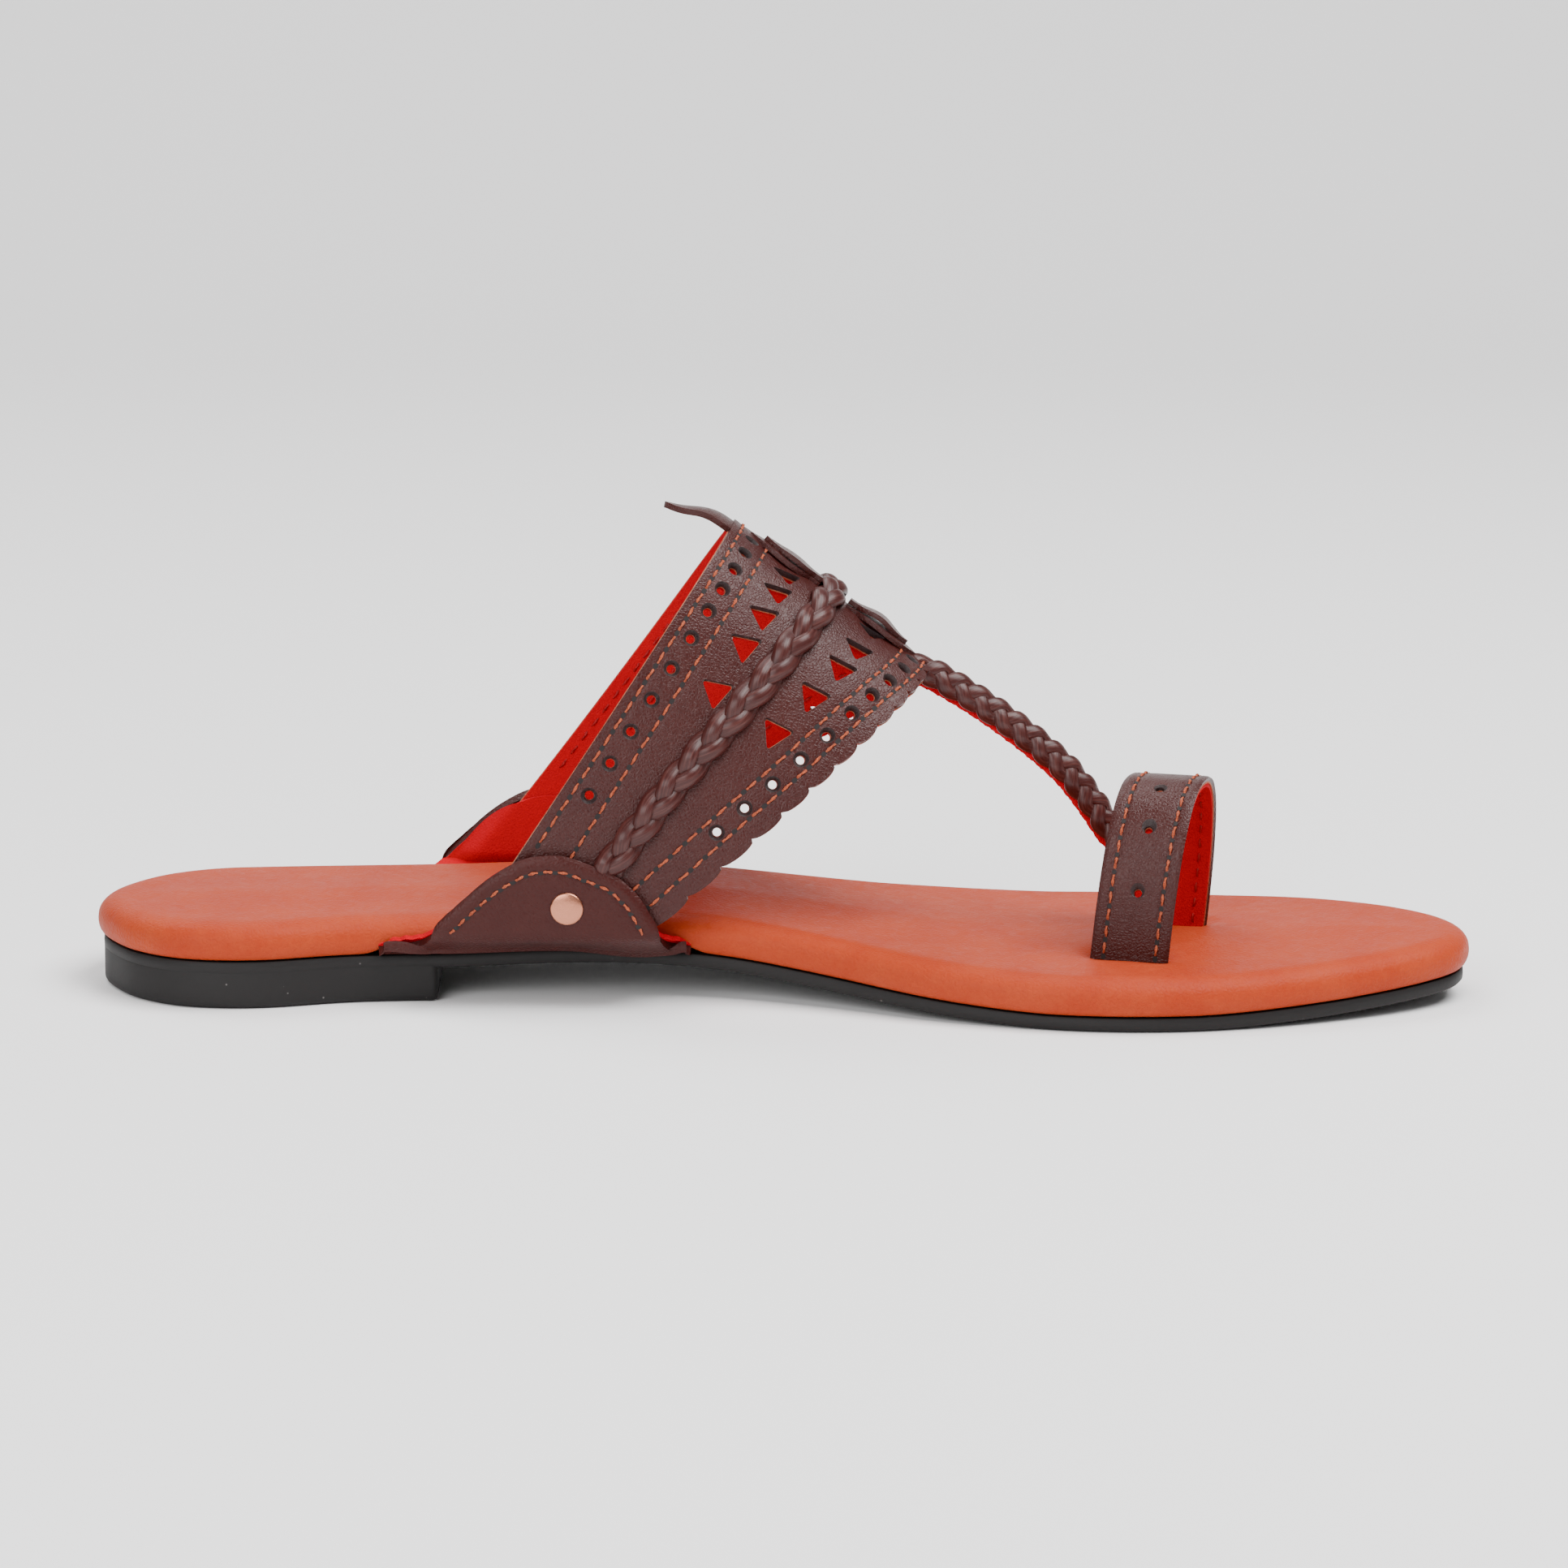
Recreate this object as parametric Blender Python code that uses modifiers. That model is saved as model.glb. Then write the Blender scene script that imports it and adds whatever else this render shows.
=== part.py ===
"""Kolhapuri sandal for the left foot: a punched instep strap, a plaited toe strap and a big-toe loop on a padded
footbed, with a thin rubber outsole and a low heel block.

+X points to the toes, +Y to the outer side of the foot and +Z up. The origin is on the ground, under the middle of
the heel block. Stations run along the sole from 0 at the back of the heel to 1 at the tip of the toes.
"""

from math import cos, pi, radians, sin, sqrt

import bmesh
import bpy
import numpy as np
from mathutils import Matrix, Vector

COLLECTION = "kolhapuri_sandal"

# Sole
LENGTH = 0.250
BALL_WIDTH = 0.084
HEEL_CENTRE = 0.030
HEEL_LIFT = 0.0060
HEEL_LENGTH = 0.0630
HEEL_CORNER = 0.0020
HEEL_EDGE = 0.0012
OUTSOLE_THICK = 0.0025
OUTSOLE_INSET = 0.0011
OUTSOLE_ROUND = 0.0009
FOOTBED_THICK = 0.0068
FOOTBED_ROUND = 0.0050
TOE_SPRING = 0.0030
HEEL_LEVEL = 0.25
CLEAR = 0.0003

# Instep strap, as points of the side view: station along the sole and height above the ground
STRAP_WALL = 0.0022
STRAP_FOOT = 0.0150
STRAP_BASE_REAR = 0.0705
STRAP_BASE_FRONT = 0.1040
STRAP_HEIGHT = 0.0827
STRAP_FALL = 0.0267
STRAP_CREST_REAR = (0.1152, STRAP_HEIGHT)
STRAP_CREST_FRONT = (0.1508, STRAP_HEIGHT - STRAP_FALL)
STRAP_WIDTH = 0.0600
STRAP_CENTRE_FOOT = 0.0070
STRAP_CENTRE_CREST = 0.0040
STRAP_ROUND = 2.15
OUTER_SHIFT = -0.0045
SCALLOPS = 26
SCALLOP_DEPTH = 0.0011

# Punched holes
HOLE_RADIUS = 0.00115
REAR_ROW = 0.0046
FRONT_ROW = 0.0050
TRIANGLE_SIDE = 0.0044
# Each row from the crown down one side: distance of its first hole, pitch and count
REAR_STEPS = (0.0037, 0.0074, 10)
FRONT_STEPS = (0.0035, 0.0066, 10)
TRIANGLE_REAR_STEPS = (0.0100, 0.0084, 5)
TRIANGLE_FRONT_STEPS = (0.0080, 0.0068, 5)
LOOP_HOLES = (-0.80, -0.42, -0.08, 0.30, 0.68)
TRIANGLE_REAR_ROW = 0.0138
TRIANGLE_FRONT_ROW = 0.0116

# Side flaps
FLAP_WALL = 0.0018
FLAP_HEIGHT = 0.0163
FLAP_REAR = 0.0535
FLAP_WIDTH = 0.0560
FLANGE = 0.0070
RIM_CLEAR = 0.0005

# Rivets
RIVET_RADIUS = 0.0030
RIVET_DOME = 0.0012
RIVET_RIM = 0.0003
RIVET_SHANK = 0.0015
RIVET_BACK = 0.00255
RIVET_BACK_THICK = 0.0005
BORE_LENGTH = 0.0140
RIVET_STATION = 0.0879
RIVET_HEIGHT = 0.0190

# Plaits
CROSS_WIDTH = 0.0053
CROSS_THICK = 0.0014
CROSS_RELIEF = 0.0011
CROSS_PITCH = 0.0065
CROSS_TRIM = 0.0140
THONG_WIDTH = 0.0062
THONG_THICK = 0.0034
THONG_RELIEF = 0.0004
THONG_PITCH = 0.0042
THONG_SINK = 0.0040
THONG_END = 0.79
PLAIT_FOOT_ANGLE = 0.05

# Big-toe loop
LOOP_BAND = 0.0135
LOOP_WALL = 0.0020
LOOP_SPAN = 0.0330
LOOP_HEIGHT = 0.0305
LOOP_STATION = 0.1921
LOOP_OFFSET = -0.0055
LOOP_SKEW = radians(13)
LOOP_LEAN = radians(6)
LOOP_SUNK = 0.0036

# Leather leaves on the crown
LEAF_THICK = 0.0009
LEAF_BASE = (0.0155, 0.0150)
LEAF_TOP = (0.0128, 0.0100)
LEAF_GAP = 0.0004
BACK_LEAF = (0.0150, 0.0095)
BACK_LEAF_ROOT = 0.20
BACK_LEAF_LIFT = 0.0036

# Plan outline: station, inner edge and outer edge as shares of the ball width
OUTLINE = (
    # station, inner, outer
    (0.000, 0.000, 0.000),
    (0.012, -0.142, 0.142),
    (0.035, -0.250, 0.244),
    (0.075, -0.330, 0.320),
    (0.130, -0.338, 0.350),
    (0.200, -0.268, 0.375),
    (0.280, -0.240, 0.400),
    (0.370, -0.212, 0.408),
    (0.460, -0.212, 0.408),
    (0.540, -0.290, 0.430),
    (0.620, -0.405, 0.472),
    (0.700, -0.478, 0.494),
    (0.765, -0.492, 0.490),
    (0.830, -0.458, 0.456),
    (0.890, -0.388, 0.392),
    (0.940, -0.306, 0.284),
    (0.975, -0.226, 0.160),
    (0.992, -0.163, 0.062),
    (1.000, -0.060, -0.060),
)

# Underside of the outsole: station, share of the heel lift and share of the toe spring
PROFILE = (
    # station, lift, spring
    (0.000, 1.00, 0.00),
    (0.250, 1.00, 0.00),
    (0.330, 1.09, 0.00),
    (0.400, 1.08, 0.00),
    (0.460, 0.90, 0.00),
    (0.520, 0.62, 0.00),
    (0.580, 0.33, 0.00),
    (0.640, 0.12, 0.00),
    (0.700, 0.00, 0.00),
    (0.800, 0.00, 0.00),
    (0.870, 0.00, 0.24),
    (0.930, 0.00, 0.55),
    (1.000, 0.00, 1.00),
)

# Edge of the padded footbed, from its underside up: share of its rounding and share of its thickness
FOOTBED_EDGE = (
    # inset, height
    (0.28, 0.00),
    (0.06, 0.22),
    (0.00, 0.45),
    (0.12, 0.70),
    (0.44, 0.92),
    (1.00, 1.00),
)

# Edge of the outsole, from its underside up: share of its rounding and share of its thickness
OUTSOLE_EDGE = (
    # inset, height
    (1.00, 0.00),
    (0.00, 0.35),
    (0.00, 1.00),
)

# Arch of the plaited toe strap: share of the way from the instep strap to the loop, and rise over that line as a
# share of its length
THONG_ARCH = (
    # way, rise
    (0.00, 0.000),
    (0.06, 0.030),
    (0.15, 0.046),
    (0.28, 0.059),
    (0.44, 0.064),
    (0.59, 0.056),
    (0.68, 0.037),
    (0.76, 0.014),
    (0.83, -0.008),
    (0.92, -0.014),
    (1.00, 0.000),
)

# Dome of a side flap: share of its height, and the shares of its width at the rear and front edge
DOME = (
    # height, rear, front
    (0.00, 0.000, 1.000),
    (0.07, 0.127, 0.925),
    (0.20, 0.185, 0.897),
    (0.38, 0.239, 0.868),
    (0.55, 0.294, 0.838),
    (0.68, 0.337, 0.804),
    (0.80, 0.385, 0.757),
    (0.90, 0.436, 0.686),
    (0.97, 0.482, 0.630),
    (1.00, 0.535, 0.590),
)

# Colours as sRGB shares
LEATHER_BROWN = (0.33, 0.20, 0.19)
LEATHER_TAN = (0.78, 0.38, 0.25)
RUBBER_BLACK = (0.15, 0.14, 0.14)
COPPER = (0.79, 0.52, 0.41)


def lerp(a, b, share):
    return a + (b - a) * share


def smooth_step(share):
    share = min(max(share, 0.0), 1.0)
    return share * share * (3 - 2 * share)


def smooth_read(keys, values, key):
    """Reads a smooth curve through (keys, values), with the slope at each key taken from its neighbours."""
    last = len(keys) - 1
    key = min(max(key, keys[0]), keys[-1])
    right = min(max(int(np.searchsorted(keys, key, side="right")), 1), last)
    left = right - 1

    def slope(i):
        before, after = max(i - 1, 0), min(i + 1, last)
        return (values[after] - values[before]) / (keys[after] - keys[before])

    span = keys[right] - keys[left]
    t = (key - keys[left]) / span
    return (
        values[left] * (1 + 2 * t) * (1 - t) ** 2
        + values[right] * t * t * (3 - 2 * t)
        + span * slope(left) * t * (1 - t) ** 2
        - span * slope(right) * t * t * (1 - t)
    )


def turn_of(station):
    """Angle of a station on a half circle over the sole, so that round ends read as smooth curves."""
    return np.arccos(np.clip(1 - 2 * station, -1, 1))


OUTLINE_TURNS = [float(turn_of(row[0])) for row in OUTLINE]


def sole_edge(station, side):
    """Distance from the centre line to the footbed's edge, with side -1 for the inner and +1 for the outer edge."""
    column = [row[1] if side < 0 else row[2] for row in OUTLINE]
    return BALL_WIDTH * smooth_read(OUTLINE_TURNS, column, float(turn_of(station)))


def underside(station):
    stations = [row[0] for row in PROFILE]
    lift = smooth_read(stations, [row[1] for row in PROFILE], station)
    spring = smooth_read(stations, [row[2] for row in PROFILE], station)
    level = [row[0] for row in PROFILE if not row[1] and not row[2]]
    if station < HEEL_LEVEL:
        lift = 1.0
    if level[0] <= station <= level[-1]:
        lift, spring = 0.0, 0.0
    return max(lift, 0.0) * HEEL_LIFT + max(spring, 0.0) * TOE_SPRING


def outsole_top(station):
    return underside(station) + OUTSOLE_THICK


def along(station_length):
    """X of a length measured from the back of the heel."""
    return station_length - HEEL_CENTRE


def outline_loop(half_count):
    """Plan points from the back of the heel along the outer edge to the toe and back along the inner edge."""
    turns = [pi * i / half_count for i in range(half_count + 1)]
    stations = [(1 - cos(turn)) / 2 for turn in turns]
    outer = [(station, sole_edge(station, 1)) for station in stations]
    inner = [(station, sole_edge(station, -1)) for station in stations]
    return outer + inner[-2:0:-1]


def inset_loop(loop, inset):
    """The loop moved inwards, as (x, y) with x measured from the back of the heel."""
    points = [Vector((station * LENGTH, y)) for station, y in loop]
    moved = []
    for i, point in enumerate(points):
        tangent = (points[(i + 1) % len(points)] - points[i - 1]).normalized()
        moved.append(point + Vector((tangent.y, -tangent.x)) * inset)
    return moved


def new_object(name, mesh, material, collection):
    obj = bpy.data.objects.new(name, mesh)
    collection.objects.link(obj)
    if material:
        mesh.materials.append(material)
    mesh.shade_smooth()
    mesh.set_sharp_from_angle(angle=radians(40))
    return obj


def mesh_from(bm, name):
    bmesh.ops.remove_doubles(bm, verts=bm.verts, dist=1e-6)
    bmesh.ops.recalc_face_normals(bm, faces=bm.faces)
    mesh = bpy.data.meshes.new(name)
    bm.to_mesh(mesh)
    bm.free()
    return mesh


def add_rings(bm, rings):
    """Joins rings of equally many points with quads and returns the rings as vertices."""
    rows = [[bm.verts.new(point) for point in ring] for ring in rings]
    for low, high in zip(rows, rows[1:]):
        for i in range(len(low)):
            j = (i + 1) % len(low)
            bm.faces.new((low[i], low[j], high[j], high[i]))
    return rows


def ladder_cap(bm, ring):
    """Closes a ring that is ordered out along one side and back along the other, with rungs across it."""
    count = len(ring)
    half = count // 2
    bm.faces.new((ring[0], ring[1], ring[-1]))
    for i in range(1, half - 1):
        bm.faces.new((ring[i], ring[i + 1], ring[count - i - 1], ring[count - i]))
    bm.faces.new((ring[half - 1], ring[half], ring[half + 1]))


def slab(name, edge, rounding, inset, base, thick, half_count=34):
    """A sheet with the sole's outline that follows its profile. Edge lists shares of the rounding and the height."""
    loop = outline_loop(half_count)
    rings = []
    for extra, share in edge:
        moved = inset_loop(loop, inset + extra * rounding)
        rings.append([(along(p.x), p.y, base(p.x / LENGTH) + share * thick) for p in moved])
    bm = bmesh.new()
    rows = add_rings(bm, rings)
    ladder_cap(bm, rows[0])
    ladder_cap(bm, rows[-1])
    return mesh_from(bm, name)


def outsole_mesh():
    return slab("outsole", OUTSOLE_EDGE, OUTSOLE_ROUND, OUTSOLE_INSET, underside, OUTSOLE_THICK)


def footbed_mesh():
    def base(station):
        return outsole_top(station) + CLEAR

    return slab("footbed", FOOTBED_EDGE, FOOTBED_ROUND, 0.0, base, FOOTBED_THICK)


def heel_mesh():
    """The heel block: the sole's outline up to the breast, cut straight across."""
    half_count = 48
    loop = inset_loop(outline_loop(half_count), OUTSOLE_INSET)
    outer = [p for p in loop[:half_count] if p.x < HEEL_LENGTH - HEEL_CORNER]
    inner = [p for p in loop[half_count:] if p.x < HEEL_LENGTH - HEEL_CORNER]
    breast = HEEL_LENGTH / LENGTH
    corners = [Vector((HEEL_LENGTH, sole_edge(breast, side) - side * OUTSOLE_INSET)) for side in (1, -1)]
    points = outer + corners + inner
    bm = bmesh.new()
    face = bm.faces.new([bm.verts.new((along(p.x), p.y, 0.0)) for p in points])
    top = bmesh.ops.extrude_face_region(bm, geom=[face])
    raised = [v for v in top["geom"] if isinstance(v, bmesh.types.BMVert)]
    bmesh.ops.translate(bm, verts=raised, vec=(0, 0, HEEL_LIFT - CLEAR))
    return mesh_from(bm, "heel_block")


# The last: every rib of the instep strap is half a superellipse in its own slanting plane

def crest_at(share):
    rear, front = Vector(STRAP_CREST_REAR), Vector(STRAP_CREST_FRONT)
    return rear.lerp(front, share)


def foot_at(share):
    return Vector((lerp(STRAP_BASE_REAR, STRAP_BASE_FRONT, share), STRAP_FOOT))


def outer_shift(rise):
    """How far the outer half of the strap lies back, more at its foot than at the crown."""
    return OUTER_SHIFT * (1 - rise) ** 2


def rib_point(share, angle):
    """Point on the last. Share runs from the strap's rear edge to its front, angle from the inner side over to pi."""
    across, up = cos(angle), sin(angle)
    rise = abs(up) ** (2 / STRAP_ROUND)
    aside = abs(across) ** (2 / STRAP_ROUND) * (1 if across > 0 else -1)
    place = foot_at(share).lerp(crest_at(share), rise)
    place.x += outer_shift(rise) if across < 0 else 0.0
    centre = lerp(STRAP_CENTRE_FOOT, STRAP_CENTRE_CREST, rise)
    return Vector((along(place.x), centre - aside * STRAP_WIDTH / 2, place.y))


def rib_normal(share, angle):
    """Outward normal of the last at a point of the strap."""
    step = 1e-3
    angle = min(max(angle, 2 * step), pi - 2 * step)
    around = rib_point(share, angle + step) - rib_point(share, angle - step)
    forward = rib_point(share + step, angle) - rib_point(share - step, angle)
    return around.cross(forward).normalized() * -1


def on_strap(share, angle, height=0.0):
    """Point at a height above the last."""
    return rib_point(share, angle) + rib_normal(share, angle) * height


def strap_breadth(rise):
    """Breadth of the strap, square to its run, at a share of the way from its foot to the crown."""
    run = ((crest_at(0) - foot_at(0)).normalized() + (crest_at(1) - foot_at(1)).normalized()).normalized()
    rear, front = foot_at(0).lerp(crest_at(0), rise), foot_at(1).lerp(crest_at(1), rise)
    gap = front - rear
    return abs(gap.x * run.y - gap.y * run.x)


def share_from_rear(distance, angle):
    return distance / strap_breadth(sin(angle) ** (2 / STRAP_ROUND))


def share_from_front(distance, angle):
    return 1 - distance / strap_breadth(sin(angle) ** (2 / STRAP_ROUND))


def row_angles(share_of, distances, side):
    """Angles at which a row on the strap is the given distances from the crown, measured along the leather."""
    angles = np.linspace(pi / 2, 0.02 if side < 0 else pi - 0.02, 240)
    points = [rib_point(share_of(a), a) for a in angles]
    steps = [(q - p).length for p, q in zip(points, points[1:])]
    lengths = np.concatenate(([0.0], np.cumsum(steps)))
    return [float(np.interp(d, lengths, angles)) for d in distances]


def last_side(x, z, side):
    """Y of the last at a place of the side view, kept within the strap's own edges."""
    share = 0.5
    rise = 0.0
    for _ in range(40):
        height = lerp(STRAP_CREST_REAR[1], STRAP_CREST_FRONT[1], share) - STRAP_FOOT
        rise = min(max((z - STRAP_FOOT) / height, 0.0), 0.95)
        rear = lerp(STRAP_BASE_REAR, STRAP_CREST_REAR[0], rise)
        front = lerp(STRAP_BASE_FRONT, STRAP_CREST_FRONT[0], rise)
        lag = outer_shift(rise) if side > 0 else 0.0
        share = min(max((x - lag - rear) / (front - rear), 0.0), 1.0)
    half = STRAP_WIDTH / 2 * (1 - rise**STRAP_ROUND) ** (1 / STRAP_ROUND)
    return lerp(STRAP_CENTRE_FOOT, STRAP_CENTRE_CREST, rise) + side * half


def sheet(name, columns, rows, place):
    """A grid whose points are moved by place(u, v), with u and v from 0 to 1."""
    bm = bmesh.new()
    bmesh.ops.create_grid(bm, x_segments=columns, y_segments=rows, size=0.5)
    for vert in bm.verts:
        vert.co = place(vert.co.x + 0.5, vert.co.y + 0.5)
    mesh = bpy.data.meshes.new(name)
    bm.to_mesh(mesh)
    bm.free()
    return mesh


def solidify(obj, thickness, offset=1.0):
    wall = obj.modifiers.new("wall", "SOLIDIFY")
    wall.thickness = thickness
    wall.offset = offset
    wall.use_even_offset = False
    return wall


def boolean(obj, other, operation):
    step = obj.modifiers.new(operation.lower(), "BOOLEAN")
    step.operation = operation
    step.solver = "EXACT"
    step.object = other
    return step


def strap_mesh():
    columns_a_scallop = 3
    rows = 4

    def place(u, v):
        angle = pi * u
        wave = (u * SCALLOPS) % 1.0
        depth = SCALLOP_DEPTH * (1 - sqrt(max(0.0, 1 - (2 * wave - 1) ** 2)))
        tip = share_from_front(depth, angle)
        return rib_point(tip * (1 - v), angle)

    return sheet("upper", SCALLOPS * columns_a_scallop, rows, place)


def loop_frame():
    """Place of the big-toe loop's middle on the footbed, with its directions across, up and along."""
    station = LOOP_STATION / LENGTH
    foot = Vector((along(LOOP_STATION), LOOP_OFFSET, outsole_top(station) + CLEAR + FOOTBED_THICK))
    across = Vector((sin(LOOP_SKEW), cos(LOOP_SKEW), 0))
    ahead = Vector((cos(LOOP_SKEW), -sin(LOOP_SKEW), 0))
    up = Vector((0, 0, 1)) * cos(LOOP_LEAN) + ahead * sin(LOOP_LEAN)
    return foot, across, up, ahead


def loop_point(run, breadth, height=0.0):
    """Point on the loop's inner face. Run goes from -1 at the inner leg over the top to +1, and past them down."""
    foot, across, up, ahead = loop_frame()
    beyond = max(abs(run) - 1, 0.0)
    angle = pi / 2 * min(max(run, -1), 1)
    aside = abs(sin(angle)) ** 0.8 * (1 if run > 0 else -1)
    rise = cos(angle) ** 0.8
    inner = LOOP_SPAN / 2 - LOOP_WALL
    place = foot + across * aside * (inner + height) + up * rise * (LOOP_HEIGHT - LOOP_WALL + height)
    return place - up * beyond + ahead * breadth * LOOP_BAND / 2


def loop_mesh():
    legs = 2

    def place(u, v):
        column = u * (20 + 2 * legs) - legs
        if column < 0:
            run = -1 + column / legs * LOOP_SUNK
        elif column > 20:
            run = 1 + (column - 20) / legs * LOOP_SUNK
        else:
            run = -1 + column / 10
        return loop_point(run, 1 - 2 * v)

    return sheet("toe_loop", 20 + 2 * legs, 2, place)


def thong_route(count):
    """Points from under the strap's front edge down to the back of the big-toe loop."""
    slope = (rib_point(1.0, pi / 2) - rib_point(0.9, pi / 2)).normalized()
    start = on_strap(1.0, pi / 2, STRAP_WALL - CLEAR - THONG_THICK / 2) - slope * THONG_SINK
    end = loop_point(THONG_END, -1.0, LOOP_WALL / 2) + loop_frame()[3] * THONG_SINK
    chord = end - start
    rising = chord.cross(Vector((0, 1, 0))).normalized()
    ways, rises = zip(*THONG_ARCH)
    points = []
    for i in range(count + 1):
        share = i / count
        rise = smooth_read(ways, rises, share) * chord.length
        points.append(start + chord * share + rising * rise)
    return points


def thong_mesh():
    """A flat plait: rounded sections along the route, with the strips of each V standing proud."""
    count = 32
    sides = 10
    route = thong_route(count)
    travelled = 0.0
    rings = []
    for i, point in enumerate(route):
        tangent = (route[min(i + 1, count)] - route[max(i - 1, 0)]).normalized()
        aside = Vector((0, 1, 0))
        aside = (aside - tangent * aside.dot(tangent)).normalized()
        up = tangent.cross(aside) * -1
        travelled += (point - route[i - 1]).length if i else 0.0
        ring = []
        for k in range(sides):
            angle = 2 * pi * k / sides
            y = abs(cos(angle)) ** 0.8 * (1 if cos(angle) > 0 else -1) * THONG_WIDTH / 2
            z = abs(sin(angle)) ** 0.8 * (1 if sin(angle) > 0 else -1) * THONG_THICK / 2
            wave = ((travelled + abs(y)) / THONG_PITCH) % 1.0
            proud = 1 + THONG_RELIEF / THONG_THICK * 2 * (sin(pi * wave) - 0.5)
            ring.append(point + aside * y * proud + up * z * proud)
        rings.append(ring)
    bm = bmesh.new()
    rows = add_rings(bm, rings)
    bm.faces.new(rows[0])
    bm.faces.new(rows[-1])
    return mesh_from(bm, "toe_strap")


def add_prism(bm, corners, length):
    """A prism of the given corner count and radius along Z, returned as its vertices."""
    count, radius = corners
    made = bmesh.ops.create_cone(
        bm, cap_ends=True, segments=count, radius1=radius, radius2=radius, depth=length
    )
    return made["verts"]


def frame_at(point, normal, down):
    """Matrix with Z along the normal and Y down the strap."""
    y = (down - normal * down.dot(normal)).normalized()
    x = y.cross(normal)
    turn = Matrix((x, y, normal)).transposed().to_4x4()
    return Matrix.Translation(point) @ turn


def punches_mesh():
    """All punched holes of strap and loop as one set of prisms."""
    bm = bmesh.new()
    depth = STRAP_WALL * 4
    round_hole = (8, HOLE_RADIUS)
    triangle = (3, TRIANGLE_SIDE / sqrt(3))
    rows = (
        (round_hole, lambda a: share_from_rear(REAR_ROW, a), *REAR_STEPS),
        (round_hole, lambda a: share_from_front(FRONT_ROW, a), *FRONT_STEPS),
        (triangle, lambda a: share_from_rear(TRIANGLE_REAR_ROW, a), *TRIANGLE_REAR_STEPS),
        (triangle, lambda a: share_from_front(TRIANGLE_FRONT_ROW, a), *TRIANGLE_FRONT_STEPS),
    )
    for shape, share_of, start, pitch, count in rows:
        distances = [start + pitch * i for i in range(count)]
        for side in (-1, 1):
            for angle in row_angles(share_of, distances, side):
                share = share_of(angle)
                point = on_strap(share, angle, STRAP_WALL / 2)
                down = (rib_point(share, angle + side * 0.01) - rib_point(share, angle)).normalized()
                verts = add_prism(bm, shape, depth)
                bmesh.ops.transform(bm, matrix=frame_at(point, rib_normal(share, angle), down), verts=verts)
    ahead = loop_frame()[3]
    for run in LOOP_HOLES:
        inside, outside = loop_point(run, 0), loop_point(run, 0, LOOP_WALL)
        verts = add_prism(bm, round_hole, depth)
        place = frame_at((inside + outside) / 2, (outside - inside).normalized(), ahead)
        bmesh.ops.transform(bm, matrix=place, verts=verts)
    return mesh_from(bm, "punches")


def slots_mesh():
    """Blind slots in the footbed for the two legs of the big-toe loop, a clearance larger all round."""
    foot, across, up, ahead = loop_frame()
    bm = bmesh.new()
    for side in (-1, 1):
        verts = bmesh.ops.create_cube(bm, size=1.0)["verts"]
        middle = foot + across * side * (LOOP_SPAN - LOOP_WALL) / 2
        depth = LOOP_SUNK + CLEAR
        size = Matrix.Diagonal((LOOP_BAND + 2 * CLEAR, LOOP_WALL + 2 * CLEAR, 2 * depth, 1))
        turn = Matrix((ahead, across, up)).transposed()
        bmesh.ops.transform(bm, matrix=Matrix.Translation(middle) @ turn.to_4x4() @ size, verts=verts)
    return mesh_from(bm, "loop_slots")


def dome_edge(height, column):
    return smooth_read([row[0] for row in DOME], [row[column] for row in DOME], height)


def flap_point(side, across, wrap):
    """Inner face of a side flap. Wrap below 0 is the flange under the footbed, and 0 to 1 climbs to the dome's top."""
    height = max(wrap, 0.0)
    rear, front = dome_edge(height, 1), dome_edge(height, 2)
    shift = OUTER_SHIFT if side > 0 else 0.0
    x = FLAP_REAR + shift + FLAP_WIDTH * lerp(rear, front, across)
    seat = outsole_top(x / LENGTH) + CLEAR + FLAP_WALL
    edge = sole_edge(x / LENGTH, side)
    if wrap < 0:
        return Vector((along(x), edge - side * FLANGE * -wrap, seat))
    z = seat + FLAP_HEIGHT * height
    wall = last_side(x, z, side) + side * (STRAP_WALL + CLEAR)
    swell = smooth_step((z - seat) / (STRAP_FOOT - CLEAR - seat))
    return Vector((along(x), lerp(edge + side * CLEAR, wall, swell), z))


FLAP_ROWS = (-1.0, -0.5, -0.12, 0.0, 0.06, 0.12, 0.18, 0.24, 0.34, 0.46, 0.62, 0.76, 0.88, 0.96, 1.0)


def flap_mesh(side):
    rows = len(FLAP_ROWS) - 1

    def place(u, v):
        across = u if side < 0 else 1 - u
        return flap_point(side, across, FLAP_ROWS[round(v * rows)])

    return sheet("flap", 10, rows, place)


def flap_clearance(side, name):
    """Room for a flap in the footbed: the flap's own sheet, a clearance larger on both faces and all round."""
    mesh = flap_mesh(side)
    bm = bmesh.new()
    bm.from_mesh(mesh)
    bm.faces.ensure_lookup_table()
    rim = [v for v in bm.verts if v.is_boundary]
    middle = sum((v.co for v in bm.verts), Vector()) / len(bm.verts)
    for vert in rim:
        away = vert.co - middle
        vert.co += Vector((away.x, away.y, 0)).normalized() * RIM_CLEAR
    bm.to_mesh(mesh)
    bm.free()
    mesh.name = name
    return mesh


def rivet_place(side):
    """Matrix of a rivet: its origin on the strap's inner face, Z out through strap and flap."""
    shift = OUTER_SHIFT if side > 0 else 0.0
    x = RIVET_STATION + shift
    step = 0.0015

    def face(dx, dz):
        return Vector((along(x + dx), last_side(x + dx, RIVET_HEIGHT + dz, side), RIVET_HEIGHT + dz))

    across, rising = face(step, 0) - face(-step, 0), face(0, step) - face(0, -step)
    normal = across.cross(rising).normalized()
    if normal.y * side < 0:
        normal = -normal
    return frame_at(face(0, 0), normal, Vector((0, 0, -1)))


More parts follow.
